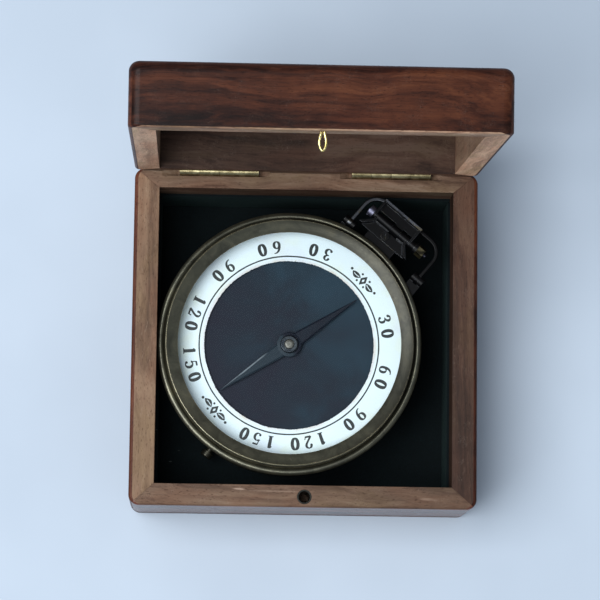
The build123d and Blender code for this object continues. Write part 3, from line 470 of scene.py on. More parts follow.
def screw_material():
    """Steel: bare at the head, dark and oily along the shank."""
    mat = Material("screw_steel")
    point = mat.point("drum")
    lo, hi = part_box("vane_screw")
    head = Vector((lo.x - AXIS.x, hi.y - AXIS.y, 0.0)) * 1000
    x, y, _ = point.split()
    from_head = hypotenuse(x - head.x, y - head.y)
    fine = point.noise(scale=2.7, detail=4, rough=0.65)
    broad = point.noise(scale=0.4, rough=0.6, warp=0.5)
    bare = from_head.ease(start=4.4, end=3.6).maximum(
        broad.ease(start=0.56, end=0.7, after=0.35))
    dark = mix(fine.ease(start=0.35, end=0.7), rgb(20, 20, 24), rgb(36, 36, 42))
    light = mix(fine.ease(start=0.35, end=0.7), rgb(92, 92, 108), rgb(126, 126, 144))
    return mat.done(mat.principled(
        Base_Color=mix(bare, dark, light),
        Metallic=1.0,
        Roughness=0.36 + fine * 0.2,
        Normal=bump(fine, strength=0.35, distance=0.00002, normal=mat.rounded(0.0001))))


# ------------------------------------------------------------------ felt, card, glass, needle
def felt_material(name, space):
    """Dark blue-green felt with crossing hairs and a little pale lint."""
    mat = Material(name)
    point = mat.point(space)
    fibre = point.noise(scale=2.4, detail=5, rough=0.72, warp=1.4)
    hair_y = point.stretched((2.6, 0.9, 1.6)).noise(scale=2.2, rough=0.7, warp=2.2)
    hair_x = point.stretched((0.8, 2.8, 1.3)).noise(scale=2.2, rough=0.7, warp=2.0)
    clump = point.noise(scale=0.09, rough=0.55, warp=0.4)
    colour = mix(fibre.ease(start=0.3, end=0.72), rgb(7, 9, 11), rgb(13, 22, 25))
    hair = hair_y.maximum(hair_x).ease(start=0.60, end=0.78, after=0.55)
    colour = mix(hair, colour, rgb(22, 37, 40))
    colour = colour.shaded(clump.ease(start=0.35, end=0.7, after=0.5), by=0.6)
    lint = point.stretched((0.35, 1.0, 1.0)).dots(scale=0.22, edge=0.05, core=0.02)
    relief = fibre * 1.0 + (hair_y * 0.7 + hair_x * 0.7)
    return mat.done(mat.principled(
        Base_Color=mix(lint * 0.25, colour, rgb(120, 124, 120)),
        Roughness=0.95,
        Normal=bump(relief, strength=0.9, distance=0.00018),
        Specular_IOR_Level=0.12,
        Sheen_Weight=0.06,
        Sheen_Roughness=0.6,
        Sheen_Tint=rgb(120, 170, 165)))


def white_card():
    """White card, faintly stained, pinkish and dusty along its inner edge."""
    mat = Material("dial_ring")
    point = mat.point("drum")
    x, y, _ = point.split()
    radius = hypotenuse(x, y)
    fibre = point.noise(scale=1.1, detail=4, rough=0.6, warp=0.6)
    fine = point.noise(scale=5.0, rough=0.6)
    yellowed = point.noise(scale=0.11, rough=0.6, warp=0.3)
    moved = add("ShaderNodeVectorMath", {0: point, 1: (31.0, 7.0, 0.0)}, operation="ADD")
    blued = moved.noise(scale=0.07, detail=2, warp=0.3)
    colour = mix(yellowed.ease(start=0.46, end=0.66, after=0.7),
                 rgb(229, 243, 250), rgb(228, 239, 230))
    colour = mix(blued.ease(start=0.5, end=0.72, after=0.6), colour, rgb(222, 230, 244))
    colour = colour.shaded(fibre.ease(start=0.35, end=0.8, after=0.3), by=0.93)
    specks = point.dots(scale=0.42, edge=0.05, core=0.02)
    colour = mix(specks * 0.4, colour, rgb(150, 152, 142))
    inner = (radius.ease(start=25.9, end=24.9)
             * point.noise(scale=0.22, detail=2).ease(start=0.36, end=0.6, before=0.35))
    colour = mix(inner * 0.55, colour, rgb(214, 196, 192))
    edge_spots = (radius.ease(start=25.6, end=25.0)
                  * point.noise(scale=1.3, rough=0.65).ease(start=0.56, end=0.68))
    return mat.done(mat.principled(
        Base_Color=mix(edge_spots * 0.5, colour, rgb(206, 198, 168)),
        Roughness=0.42 + fibre * 0.2,
        Normal=bump(fibre * 1.0 + fine * 0.4, strength=0.3, distance=0.00003)))


def dark_card(name, gain=1.0):
    """Matt black card with fine dust; its blue lightens towards one side as a painted reflection
    of the sky in the glass.
    """
    mat = Material(name)
    point = mat.point("drum")
    x, y, _ = point.split()
    fibre = point.noise(scale=0.9, detail=5, rough=0.7, warp=0.8)
    fine = point.noise(scale=4.0, rough=0.7)
    cloud = point.noise(scale=0.06, rough=0.6, warp=0.4)
    # painted reflection: lighter and bluer towards +x and +y, with the ramp's colours set lighter
    # than the card's own, standing in for the sky reflected in the glass
    side = (x + y * 0.5) * 0.016 + (cloud - 0.5) * 1.6
    colour = (side + 0.5).ramp([(0.1, (32, 34, 46)), (0.42, (31, 39, 50)),
                                (0.68, (33, 48, 60)), (1.0, (36, 55, 68))])
    colour = colour.shaded(fibre.ease(start=0.35, end=0.75, after=0.5), by=0.86)
    colour = colour.shaded(fine.ease(start=0.35, end=0.75, after=0.15), by=1.12)
    dust = point.dots(scale=0.16, edge=0.02, core=0.008)
    colour = mix(dust * 0.3, colour, rgb(60, 68, 76))
    return mat.done(mat.principled(
        Base_Color=colour.scaled(gain),
        Roughness=0.66 + fibre * 0.1,
        Specular_IOR_Level=0.2))


def plate_card():
    mat = Material("dial_plate")
    point = mat.point("drum")
    fibre = point.noise(scale=1.1, detail=4, rough=0.6, warp=0.6)
    age = point.noise(scale=0.09, rough=0.6, warp=0.3)
    colour = mix(age.ease(start=0.4, end=0.7, after=0.8), rgb(120, 112, 92), rgb(98, 90, 72))
    return mat.done(mat.principled(
        Base_Color=colour.shaded(fibre.ease(start=0.3, end=0.75, after=0.35), by=0.85),
        Roughness=0.6,
        Normal=bump(fibre, strength=0.3, distance=0.00003)))


def ink():
    mat = Material("dial_ink")
    fine = mat.point("drum").noise(scale=3.5, rough=0.6)
    colour = mix(fine.ease(start=0.35, end=0.75), rgb(14, 20, 22), rgb(40, 50, 52))
    return mat.done(mat.principled(Base_Color=colour, Roughness=0.5))


def glass_material():
    """Thin clear glass: what lies under it is seen straight through, front faces reflect."""
    mat = Material("glass")
    point = mat.point("drum")
    smear = point.noise(scale=0.12, detail=4, rough=0.6, warp=1.2)
    gloss = add("ShaderNodeBsdfGlossy", {
        "Roughness": smear.ease(start=0.45, end=0.75, before=0.03, after=0.12),
        "Color": (0.95, 0.98, 1.0)})
    clear = add("ShaderNodeBsdfTransparent", {"Color": (0.985, 0.995, 0.992)}, mat.tree)
    fresnel = add("ShaderNodeFresnel", {"IOR": 1.32}, mat.tree)
    # less than the Fresnel share, so that glass seen square on reflects almost nothing
    reflected = (fresnel - 0.0145).maximum(0.0)
    amount = (1.0 - mat.geometry("Backfacing")) * reflected
    dust = point.noise(scale=0.5, rough=0.6).ease(start=0.5, end=0.8) * 0.002
    amount = calc("ADD", amount, dust, use_clamp=True)
    return mat.done(mix_shader(amount, clear, gloss))


def needle_material():
    """Dark blued steel with a satin face; on the pointing half, the bevel facing the lamp is
    painted bright as a highlight.
    """
    mat = Material("needle_steel")
    point = mat.point("drum")
    x, y, z = point.split()
    along = along_bearing(x, y, NEEDLE_BEARING)
    across = across_bearing(x, y, NEEDLE_BEARING)
    line = combine(along * 0.25, across * 3.0, z).noise(scale=1.6, rough=0.65)
    broad = point.noise(scale=0.4, rough=0.6)
    blue = mix(broad.ease(start=0.35, end=0.65), rgb(22, 25, 36), rgb(22, 29, 40))
    steel = mix(line.ease(start=0.3, end=0.7), rgb(33, 43, 52), rgb(40, 51, 60))
    colour = mix(along.ease(start=-0.5, end=0.8), blue, steel)
    normal_x, normal_y, _ = mat.normal("drum").split()
    tilt = across_bearing(normal_x, normal_y, NEEDLE_BEARING)
    patchy = combine(along * 0.6, 0.0, 0.0).noise(scale=1.0, rough=0.6).ease(
        start=0.3, end=0.5, before=0.55)
    # painted highlight: the bevel on the lamp's side of the pointing half gets a bright steel
    # colour
    painted_highlight_facet = tilt.ease(start=-0.25, end=-0.5) * along.ease(start=6.0, end=9.0) * patchy
    normal = bump(line, strength=0.25, distance=0.00002)
    satin = mat.principled(Base_Color=colour, Metallic=0.1, Roughness=0.42 + line * 0.14,
                           Normal=normal, Specular_IOR_Level=0.15)
    highlight_steel = mat.principled(Base_Color=rgb(150, 160, 168), Metallic=0.6, Roughness=0.42,
                            Normal=normal)
    return mat.done(mix_shader(painted_highlight_facet, satin, highlight_steel))


def floor_material():
    mat = Material("floor")
    cloud = mat.object_point().noise(scale=14.0)
    colour = mix(cloud.ease(start=0.3, end=0.7), rgb(183, 194, 207), rgb(189, 200, 213))
    return mat.done(mat.principled(Base_Color=colour, Roughness=0.85))


# ------------------------------------------------------------------ materials on the CAD nodes
def paint(material, *names):
    for name in names:
        mesh = nodes[name].data
        mesh.materials.clear()
        mesh.materials.append(material)
        for polygon in mesh.polygons:
            polygon.material_index = 0


# an inner below 1 darkens the piece's upright bare walls as painted shade
WOODS = {
    "base_front_rail": dict(
        space="box", along="x", seed=(11, 3, 40), raw_tone=0.33, raw_tint=(1.0, 0.91, 0.86),
        red_tone=0.8, coat=0.65, streak=0.75, fade=(-10.0, 45.0, 0.78), inner=0.8,
        marks=[(-18.3, -44.0, 2.4, 0.36, 0.62), (-8.0, -44.5, 11.0, 0.30, 0.22),
               (36.0, -46.2, 3.4, 0.5, 0.22)]),
    "base_rear_rail": dict(
        space="box", along="x", seed=(75, 22, 7), raw_tone=0.41, raw_tint=(1.0, 0.93, 0.90),
        red_tone=0.6, inner=0.55),
    "base_left_rail": dict(
        space="box", along="y", seed=(31, 61, 15), raw_tone=0.52, raw_tint=(1.0, 0.94, 0.87),
        red_tone=0.55, streak=0.6, inner=0.8),
    "base_right_rail": dict(
        space="box", along="y", seed=(93, 14, 33), raw_tone=0.25, raw_tint=(1.0, 0.80, 0.76),
        red_tone=0.5, streak=0.8, fade=(20.0, -30.0, 0.66), inner=0.6),
    "base_bottom_panel": dict(
        space="box", along="x", seed=(5, 40, 90), raw_tone=0.5, red_tone=0.5),
    "lid_front_rail": dict(
        space="lid", along="x", seed=(47, 8, 19), red_tone=0.34, streak=0.8),
    "lid_top_panel": dict(
        space="lid", along="x", seed=(47, 8, 19), red_tone=0.34, raw_tone=0.6, streak=0.8),
    # lid_rear_rail: fade darkens its left end as a painted shadow of the left rail; inner is
    # painted shade on its upright faces
    "lid_rear_rail": dict(
        space="lid", along="x", seed=(21, 55, 3), raw_tone=0.36, raw_tint=(1.0, 0.83, 0.80),
        fade=(20.0, -35.0, 0.75), red_tone=0.5, inner=0.52),
    # lid_left_rail and lid_right_rail: a raw_tone above 1 brightens their sawn rims as painted
    # light, for the light the rims catch facing the front; inner darkens their upright sides as
    # painted shade
    "lid_left_rail": dict(
        space="lid", along="y", seed=(66, 31, 71), raw_tone=1.55, red_tone=0.5, streak=0.6,
        inner=0.55),
    "lid_right_rail": dict(
        space="lid", along="y", seed=(17, 77, 52), raw_tone=1.72, raw_tint=(1.0, 0.97, 0.94),
        red_tone=0.5, streak=0.6, inner=0.52),
}
for name, looks in WOODS.items():
    paint(wood("wood_" + name, mitred=name.endswith("rail"), **looks), name)

paint(aged_brass("aged_brass", "drum", tone=0.92, rough=0.31),
      "compass_case", "lever_bracket", "lever_pin")
# the bezel is painted darker on its lit right side and lighter towards the front: painted shade
# and painted light
paint(aged_brass("bezel_brass", "drum", tone=0.95, rough=0.31,
                 painted_light_sides=[(25.0, 0.27), (-105.0, 1.7)]), "bezel")
paint(aged_brass("plunger_brass", "drum", tone=0.32, bright_edges=0.25), "arrest_plunger")
paint(aged_brass("socket_brass", "box", tone=0.12, turned=False, bright_edges=0.12),
      "latch_socket")

# name, space, dark and light sRGB colours, roughness, strength of specks, nodes
PLAIN_METALS = [
    ("hinge_brass", "box", (118, 106, 76), (186, 174, 134), 0.32, 0.6,
     ["hinge_leaf_base_left", "hinge_leaf_base_right", "hinge_pin_left", "hinge_pin_right"]),
    ("hinge_brass_lid", "lid", (118, 106, 76), (186, 174, 134), 0.32, 0.6,
     ["hinge_leaf_lid_left", "hinge_leaf_lid_right"]),
    ("loop_brass", "lid", (190, 168, 96), (226, 210, 150), 0.24, 0.2, ["latch_loop"]),
    ("bright_brass", "drum", (150, 134, 94), (200, 182, 134), 0.32, 0.4,
     ["pivot_post", "glass_ring", "lift_sleeve", "lifter_lever"]),
    ("hub_metal", "drum", (92, 90, 86), (118, 116, 110), 0.5, 0.3, ["cap_bush"]),
    ("cap_steel", "drum", (44, 48, 54), (66, 70, 74), 0.42, 0.3, ["needle_cap"]),
    ("steel", "drum", (84, 84, 98), (122, 122, 138), 0.42, 0.4, ["ring_pins"]),
    ("nut_metal", "drum", (34, 32, 26), (120, 112, 84), 0.38, 0.7, ["vane_nut"]),
]
for *looks, painted in PLAIN_METALS:
    paint(plain_metal(*looks), *painted)
paint(screw_material(), "vane_screw")

paint(black_metal("black_metal"), "hinge_bracket", "vane_collar", "case_lug", "bracket_screw")
vane_lo, vane_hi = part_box("sight_vane")
VANE_DEGREES = math.degrees(math.atan2((vane_lo.y + vane_hi.y) / 2 - AXIS.y,
                                       (vane_lo.x + vane_hi.x) / 2 - AXIS.x))
paint(black_metal("vane_black", rubbed=("sight_vane", VANE_DEGREES, 0.9, 0.75)), "sight_vane")
paint(black_metal("ring_black", rubbed=("thumb_ring", 118.0, 5.0, 0.45)), "thumb_ring")
paint(black_metal("black_metal_dull", worn=0.35), "ring_lugs")
paint(glass_material(), "glass")
paint(dark_card("dial_disc"), "dial_disc")
paint(white_card(), "dial_ring")
paint(plate_card(), "dial_plate")
NEEDLE_STEEL = needle_material()
paint(NEEDLE_STEEL, "needle")
FELT = felt_material("felt", "box")
paint(FELT, "floor_felt", "wall_felt_front", "wall_felt_rear", "wall_felt_left",
      "wall_felt_right")
FELT_LID = felt_material("felt_lid", "lid")
paint(FELT_LID, "lid_felt")
INK = ink()


# ------------------------------------------------------------------ mesh helpers
def to_mesh(name, bm):
    bmesh.ops.recalc_face_normals(bm, faces=bm.faces)
    mesh = bpy.data.meshes.new(name)
    bm.to_mesh(mesh)
    bm.free()
    return mesh


def link_object(name, data):
    piece = bpy.data.objects.new(name, data)
    scene.collection.objects.link(piece)
    return piece


def new_piece(name, bm, material, body, sharp_angle=None):
    """Flat shaded, or smooth with edges sharp above sharp_angle degrees"""
    mesh = to_mesh(name, bm)
    mesh.materials.append(material)
    piece = link_object(name, mesh)
    if sharp_angle is None:
        mesh.shade_flat()
    else:
        mesh.shade_smooth()
        mesh.set_sharp_from_angle(angle=math.radians(sharp_angle))
    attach(piece, body)
    return piece


def loft(rows, closed):
    """Skins rows of points in mm. The rows join into a ring, or are capped at both ends."""
    bm = bmesh.new()
    rows = [[bm.verts.new([c * MM for c in point]) for point in row] for row in rows]
    for row, following in zip(rows, rows[1:] + rows[:1] if closed else rows[1:]):
        for i in range(len(row)):
            j = (i + 1) % len(row)
            bm.faces.new((row[i], following[i], following[j], row[j]))
    if not closed:
        bm.faces.new(rows[0])
        bm.faces.new(rows[-1][::-1])
    return bm


def spin(segments, profile):
    """Turns a closed profile about the drum's axis; profile(angle) gives (radius, z) in mm."""
    rows = []
    for i in range(segments):
        angle = 2 * math.pi * i / segments
        rows.append([(DRUM_X + radius * math.cos(angle), DRUM_Y + radius * math.sin(angle), z)
                     for radius, z in profile(angle)])
    return loft(rows, closed=True)


# ------------------------------------------------------------------ felt sheets
FELT_STEP = 0.75  # mm between rows of the sheet
CUT_ROWS = (0.10, 0.25)  # mm from the cut edge, extra rows that let it be round
CUT_RADIUS = 0.4
CUT_DROP = 0.34  # how far the face falls at the cut edge
DRUM_PRESS_RADIUS = 36.5
DRUM_PRESS_FADE = 3.0
DRUM_PRESS_DEPTH = 0.10


def unit_noise(x, y, z, scale):
    return 0.5 + 0.5 * mnoise.noise(Vector((x * scale, y * scale, z * scale)))


def felt_sheet(name, node, face, body, material, seed, press=None, box=None, to_world=None):
    """A closed sheet filling the node's box, with soft edges, an uneven nap and a few ripples.
    face is the side that shows, such as "+z"; press(u, v) in mm is how far the nap is
    flattened. A sheet in the lid gives its box in the shut lid's frame and a to_world."""
    lo, hi = (Vector(corner) * 1000 for corner in (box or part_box(node)))
    axis = "xyz".index(face[1])
    sign = 1 if face[0] == "+" else -1
    u_axis, v_axis = [i for i in range(3) if i != axis]
    thickness = hi[axis] - lo[axis]
    front, back = (hi[axis], lo[axis]) if sign > 0 else (lo[axis], hi[axis])

    def spaced(low, high):
        count = max(2, int(round((high - low) / FELT_STEP)))
        inner = [low + (high - low) * i / count for i in range(1, count)]
        near, far = CUT_ROWS
        return [low, low + near, low + far] + inner + [high - far, high - near, high]

    us = spaced(lo[u_axis], hi[u_axis])
    vs = spaced(lo[v_axis], hi[v_axis])
    bm = bmesh.new()

    def add_vert(u, v, level):
        place = [0.0, 0.0, 0.0]
        place[u_axis], place[v_axis], place[axis] = u, v, level
        place = Vector(place) * MM
        return bm.verts.new(to_world(place) if to_world else place)

    def rounding(u, v):
        inset = min(u - us[0], us[-1] - u, v - vs[0], vs[-1] - v)
        t = max(0.0, 1.0 - inset / CUT_RADIUS)
        return CUT_DROP * (1.0 - math.sqrt(max(0.0, 1.0 - t * t)))

    def depth(u, v):
        ripples = unit_noise(u, v, seed, 0.045)
        nap = unit_noise(u + 40, v, seed * 1.7, 0.55)
        tufts = unit_noise(u, v + 90, seed * 2.3, 1.6)
        deep = 0.02 + 0.10 * ripples + 0.05 * nap + 0.04 * tufts + rounding(u, v)
        if press is not None:
            deep += press(u, v)
        return min(deep, thickness * 0.72)

    top, bottom = [], []
    for u in us:
        top.append([])
        bottom.append([])
        for v in vs:
            # the cut edge itself wanders a little, always inwards
            cut_u, cut_v = u, v
            if u in (us[0], us[-1]):
                cut_u += 0.1 * unit_noise(v, seed, 3.0, 0.5) * (1 if u == us[0] else -1)
            if v in (vs[0], vs[-1]):
                cut_v += 0.1 * unit_noise(u, seed, 8.0, 0.5) * (1 if v == vs[0] else -1)
            top[-1].append(add_vert(cut_u, cut_v, front - sign * depth(u, v)))
            bottom[-1].append(add_vert(cut_u, cut_v, back))
    for i in range(len(us) - 1):
        for j in range(len(vs) - 1):
            bm.faces.new((top[i][j], top[i + 1][j], top[i + 1][j + 1], top[i][j + 1]))
            bm.faces.new((bottom[i][j], bottom[i][j + 1], bottom[i + 1][j + 1],
                          bottom[i + 1][j]))
    for i in range(len(us) - 1):
        bm.faces.new((top[i][0], bottom[i][0], bottom[i + 1][0], top[i + 1][0]))
        bm.faces.new((top[i][-1], top[i + 1][-1], bottom[i + 1][-1], bottom[i][-1]))
    for j in range(len(vs) - 1):
        bm.faces.new((top[0][j], top[0][j + 1], bottom[0][j + 1], bottom[0][j]))
        bm.faces.new((top[-1][j], bottom[-1][j], bottom[-1][j + 1], top[-1][j + 1]))
    piece = new_piece(name, bm, material, body, sharp_angle=50)
    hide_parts(node)


def under_drum(u, v):
    from_axis = math.hypot(u - DRUM_X, v - DRUM_Y)
    t = min(1.0, max(0.0, (DRUM_PRESS_RADIUS - from_axis) / DRUM_PRESS_FADE))
    return DRUM_PRESS_DEPTH * t * t * (3 - 2 * t)


def turn_lid(point, angle):
    """Turns a point about the hinge, opening the lid by angle"""
    cos, sin = math.cos(angle), math.sin(angle)
    y, z = point.y - HINGE.y, point.z - HINGE.z
    return Vector((point.x, HINGE.y + y * cos + z * sin, HINGE.z - y * sin + z * cos))


# name, node, face that shows, seed, press
BASE_FELTS = [
    ("felt_floor", "floor_felt", "+z", 1.3, under_drum),
    ("felt_front", "wall_felt_front", "+y", 4.1, None),
    ("felt_rear", "wall_felt_rear", "-y", 7.7, None),
    ("felt_left", "wall_felt_left", "+x", 11.9, None),
    ("felt_right", "wall_felt_right", "-x", 15.2, None),
]
for name, node, face, seed, press in BASE_FELTS:
    felt_sheet(name, node, face, "box_base", FELT, seed, press)

shut_points = [turn_lid(v.co, -LID_OPEN) for v in nodes["lid_felt"].data.vertices]
lid_box = [Vector([pick(p[i] for p in shut_points) for i in range(3)]) for pick in (min, max)]
felt_sheet("felt_lid_panel", "lid_felt", "-z", "lid", FELT_LID, 19.4, box=lid_box,
           to_world=lambda point: turn_lid(point, LID_OPEN))

# ------------------------------------------------------------------ dial print
PRINT_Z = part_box("dial_ring")[1].z * 1000
PRINT_TOP = PRINT_Z + 0.02
PAPER_TOP = PRINT_Z + 0.012
ARC_RADIUS = 28.9  # where the print's widths are measured
OUTWARD_FOOT, INWARD_FOOT = 27.15, 30.85  # radii the numbers stand on
DIGIT_SCALE = 1.12
DIGIT_PITCH = 8.6  # degrees
THREE_DIGIT_PITCH = 0.9  # times the pitch
RING_SEGMENTS = 1080


def fill_shape(bm, field, extent, cell, place):
    """Fills field(x, y) <= 0 by marching squares, as a closed flat shape on the dial.
    extent is (x from, x to, y from, y to); place(x, y) gives x, y in mm."""
    x_from, x_to, y_from, y_to = extent
    xs = x_from + cell * np.arange(int(math.ceil((x_to - x_from) / cell)) + 1)
    ys = y_from + cell * np.arange(int(math.ceil((y_to - y_from) / cell)) + 1)
    values = field(*np.meshgrid(xs, ys, indexing="ij"))
    values[[0, -1], :] = 1.0
    values[:, [0, -1]] = 1.0
    values = np.where(np.abs(values) < 1e-4, 1e-4, values)
    made = {}

    def vert_pair(key, x, y):
        if key not in made:
            px, py = place(x, y)
            made[key] = [bm.verts.new((px * MM, py * MM, z * MM)) for z in (PRINT_TOP, PRINT_Z)]
        return made[key]

    def corner(at):
        return vert_pair(at, xs[at[0]], ys[at[1]])

    def crossing(start, end):
        key = ("edge", min(start, end), max(start, end))
        t = min(0.96, max(0.04, values[start] / (values[start] - values[end])))
        x0, y0 = xs[start[0]], ys[start[1]]
        return vert_pair(key, x0 + (xs[end[0]] - x0) * t, y0 + (ys[end[1]] - y0) * t)

    def add_faces(outline, cut=None):
        bm.faces.new([pair[0] for pair in outline])
        bm.faces.new([pair[1] for pair in reversed(outline)])
        if cut:
            start, end = cut
            bm.faces.new((end[0], start[0], start[1], end[1]))

    for i in range(len(xs) - 1):
        for j in range(len(ys) - 1):
            corners = [(i, j), (i + 1, j), (i + 1, j + 1), (i, j + 1)]
            inside = [values[at] < 0 for at in corners]
            count = sum(inside)
            if count == 0:
                continue
            if count == 2 and inside[0] == inside[2]:
                # saddle: two separate corners
                for q in range(4):
                    if inside[q]:
                        at = corners[q]
                        cut = (crossing(at, corners[(q + 1) % 4]), crossing(at, corners[q - 1]))
                        add_faces([corner(at), *cut], cut)
                continue
            outline = []
            for q in range(4):
                following = (q + 1) % 4
                if inside[q]:
                    outline.append(corner(corners[q]))
                if inside[q] != inside[following]:
                    outline.append(crossing(corners[q], corners[following]))
                    if inside[q]:
                        leaving = outline[-1]
                    else:
                        entering = outline[-1]
            add_faces(outline, (leaving, entering) if count < 4 else None)


def on_arc(bearing, foot, scale=1.0, outward=True):
    """Shape's plane to the dial: x runs along the arc and y is up from the foot radius.
    outward: tops away from the axis."""
    def place(x, y):
        x, y = x * scale, y * scale
        radius = foot + y if outward else foot - y
        angle = math.radians(bearing) + (-x if outward else x) / ARC_RADIUS
        return DRUM_X + radius * math.cos(angle), DRUM_Y + radius * math.sin(angle)
    return place


def curve(*points):
    """Catmull-Rom curve through points"""
    knots = [np.array(point, float) for point in points]
    knots = [2 * knots[0] - knots[1]] + knots + [2 * knots[-1] - knots[-2]]
    out = []
    for before, start, end, after in zip(knots, knots[1:], knots[2:], knots[3:]):
        for t in np.linspace(0, 1, 26, endpoint=False):
            out.append(0.5 * ((2 * start) + (end - before) * t
                              + (2 * before - 5 * start + 4 * end - after) * t * t
                              + (3 * start - before - 3 * end + after) * t ** 3))
    out.append(knots[-2])
    return np.array(out)


def straight(start, end, count=40):
    start, end = np.array(start, float), np.array(end, float)
    return np.array([start + (end - start) * t for t in np.linspace(0, 1, count)])


def oval(x, y, half_width, half_height):
    t = np.linspace(0, 2 * math.pi, 90)
    return np.stack([x + half_width * np.cos(t), y + half_height * np.sin(t)], 1)


# half width and half height of the elliptical nib
BROAD = (0.43, 0.15)
ROUND = (0.34, 0.13)
BEND = (0.31, 0.13)
THIN = (0.13, 0.13)
BLOB = (0.31, 0.30)

# each digit: (path, nib) strokes, about 3.3 mm tall
DIGITS = {
    "0": [(oval(0, 1.65, 0.74, 1.52), BROAD)],
    "1": [(straight((0.0, 0.2), (0.0, 3.05)), BROAD),
          (straight((-0.52, 2.72), (-0.02, 3.14)), THIN),
          (straight((-0.6, 0.1), (0.6, 0.1)), THIN)],
    "2": [(curve((-0.66, 2.42), (-0.42, 3.02), (0.08, 3.18), (0.6, 2.78), (0.58, 2.1),
                 (0.1, 1.35), (-0.42, 0.7), (-0.72, 0.24)), BEND),
          (straight((-0.72, 0.2), (0.62, 0.2)), (0.14, 0.24)),
          (straight((0.62, 0.2), (0.8, 0.78)), THIN),
          (straight((-0.62, 2.36), (-0.6, 2.42), 4), (0.30, 0.28))],
    "3": [(curve((-0.62, 2.6), (-0.3, 3.08), (0.14, 3.16), (0.58, 2.72), (0.42, 2.08),
                 (-0.12, 1.76)), (0.32, 0.13)),
          (curve((-0.12, 1.76), (0.46, 1.58), (0.72, 1.02), (0.52, 0.38), (-0.02, 0.11),
                 (-0.48, 0.32)), ROUND),
          (straight((-0.58, 0.5), (-0.56, 0.54), 4), BLOB),
          (straight((-0.56, 2.6), (-0.54, 2.62), 4), (0.28, 0.26))],
    "5": [(straight((-0.42, 3.02), (0.6, 3.02)), (0.14, 0.23)),
          (straight((-0.46, 3.0), (-0.6, 1.78)), THIN),
          (curve((-0.6, 1.76), (-0.14, 2.06), (0.38, 1.9), (0.72, 1.3), (0.62, 0.58),
                 (0.16, 0.14), (-0.38, 0.22)), ROUND),
          (straight((-0.58, 0.46), (-0.56, 0.5), 4), BLOB)],
    "6": [(oval(0.04, 1.02, 0.68, 0.92), ROUND),
          (curve((-0.64, 1.05), (-0.6, 1.8), (-0.28, 2.62), (0.24, 3.06), (0.62, 3.14)), BEND)],
    "9": [(oval(-0.04, 2.28, 0.68, 0.92), ROUND),
          (curve((0.64, 2.25), (0.6, 1.5), (0.28, 0.68), (-0.24, 0.24), (-0.62, 0.16)), BEND)],
}


def digit_field(digit):
    def field(x, y):
        out = np.full(x.shape, 9.0)
        for path, (half_width, half_height) in DIGITS[digit]:
            for px, py in path:
                away = np.sqrt(((x - px) / half_width) ** 2 + ((y - py) / half_height) ** 2)
                out = np.minimum(out, away - 1.0)
        return out
    return field


def ornament_field(x, y):
    """A pierced lozenge between two leaves, each ending in a small dot"""
    lozenge = np.abs(x) / 1.05 + np.abs(y) / 1.75 - 1.0
    hole = 1.0 - (np.abs(x) / 0.36 + np.abs(y) / 0.60)
    out = np.maximum(lozenge, hole)
    for side in (1, -1):
        u = side * x - 2.75  # from the middle of the leaf
        v = y - 0.12 * u * u + 0.2  # from its curved mid line
        leaf = np.abs(v) - 0.86 * (1 - (u / 1.6) ** 2)
        vein = 0.11 - np.abs(v)
        out = np.minimum(out, np.maximum(leaf, np.where((u > -1.1) & (u < 0.9), vein, -1.0)))
        end_dot = np.sqrt((side * x - 4.85) ** 2 + (y - 0.45) ** 2) - 0.40
        side_dots = np.sqrt((side * x - 1.45) ** 2 + (np.abs(y) - 1.25) ** 2) - 0.33
        out = np.minimum(np.minimum(out, end_dot), side_dots)
    return out


def dial_numbers():
    """30 to 150 twice: clockwise with tops outward, and anticlockwise with tops inward"""
    bm = bmesh.new()
    for start, turn, outward in ((12.0, -30.0, True), (72.0, 30.0, False)):
        foot = OUTWARD_FOOT if outward else INWARD_FOOT
        for i, label in enumerate(("30", "60", "90", "120", "150")):
            middle = start + turn * i
            pitch = DIGIT_PITCH * (THREE_DIGIT_PITCH if len(label) == 3 else 1.0)
            for j, digit in enumerate(label):
                offset = (j - (len(label) - 1) / 2) * pitch
                bearing = middle - offset if outward else middle + offset
                fill_shape(bm, digit_field(digit), extent=(-1.3, 1.3, -0.15, 3.45), cell=0.07,
                           place=on_arc(bearing, foot, DIGIT_SCALE, outward))
    new_piece("dial_numbers", bm, INK, "compass")


def dial_ornaments():
    bm = bmesh.new()
    for bearing in (42.0, 222.0):
        fill_shape(bm, ornament_field, extent=(-5.4, 5.4, -1.9, 1.9), cell=0.085,
                   place=on_arc(bearing, ARC_RADIUS))
    new_piece("dial_ornaments", bm, INK, "compass")


def around(angle, scale, seed):
    return mnoise.noise(Vector((math.cos(angle) * scale, math.sin(angle) * scale, seed)))


def flat_ring(inner, outer, top):
    return [(inner, PRINT_Z), (inner, top), (outer, top), (outer, PRINT_Z)]


def line_profile(angle):
    return flat_ring(25.98 + 0.02 * around(angle, 9, 2.0),
                     26.40 + 0.04 * around(angle, 14, 5.0), PRINT_TOP)


def paper_profile(angle):
    """The dark paper's edge laps raggedly over the white ring"""
    outer = (24.72 + 0.16 * around(angle, 5, 11.0) + 0.13 * abs(around(angle, 22, 17.0))
             + 0.10 * around(angle, 60, 23.0))
    return flat_ring(24.45, outer, PAPER_TOP)


dial_numbers()
dial_ornaments()
new_piece("dial_line", spin(RING_SEGMENTS, line_profile), INK, "compass")
new_piece("dial_paper_edge", spin(RING_SEGMENTS, paper_profile),
          dark_card("dial_paper", gain=0.9), "compass")

# ------------------------------------------------------------------ needle
NEEDLE_Z, NEEDLE_TOP = (corner.z * 1000 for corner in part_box("needle"))
NEEDLE_REACH = 24.0
BORE_RADIUS = 1.46
BOSS_SEGMENTS = 96
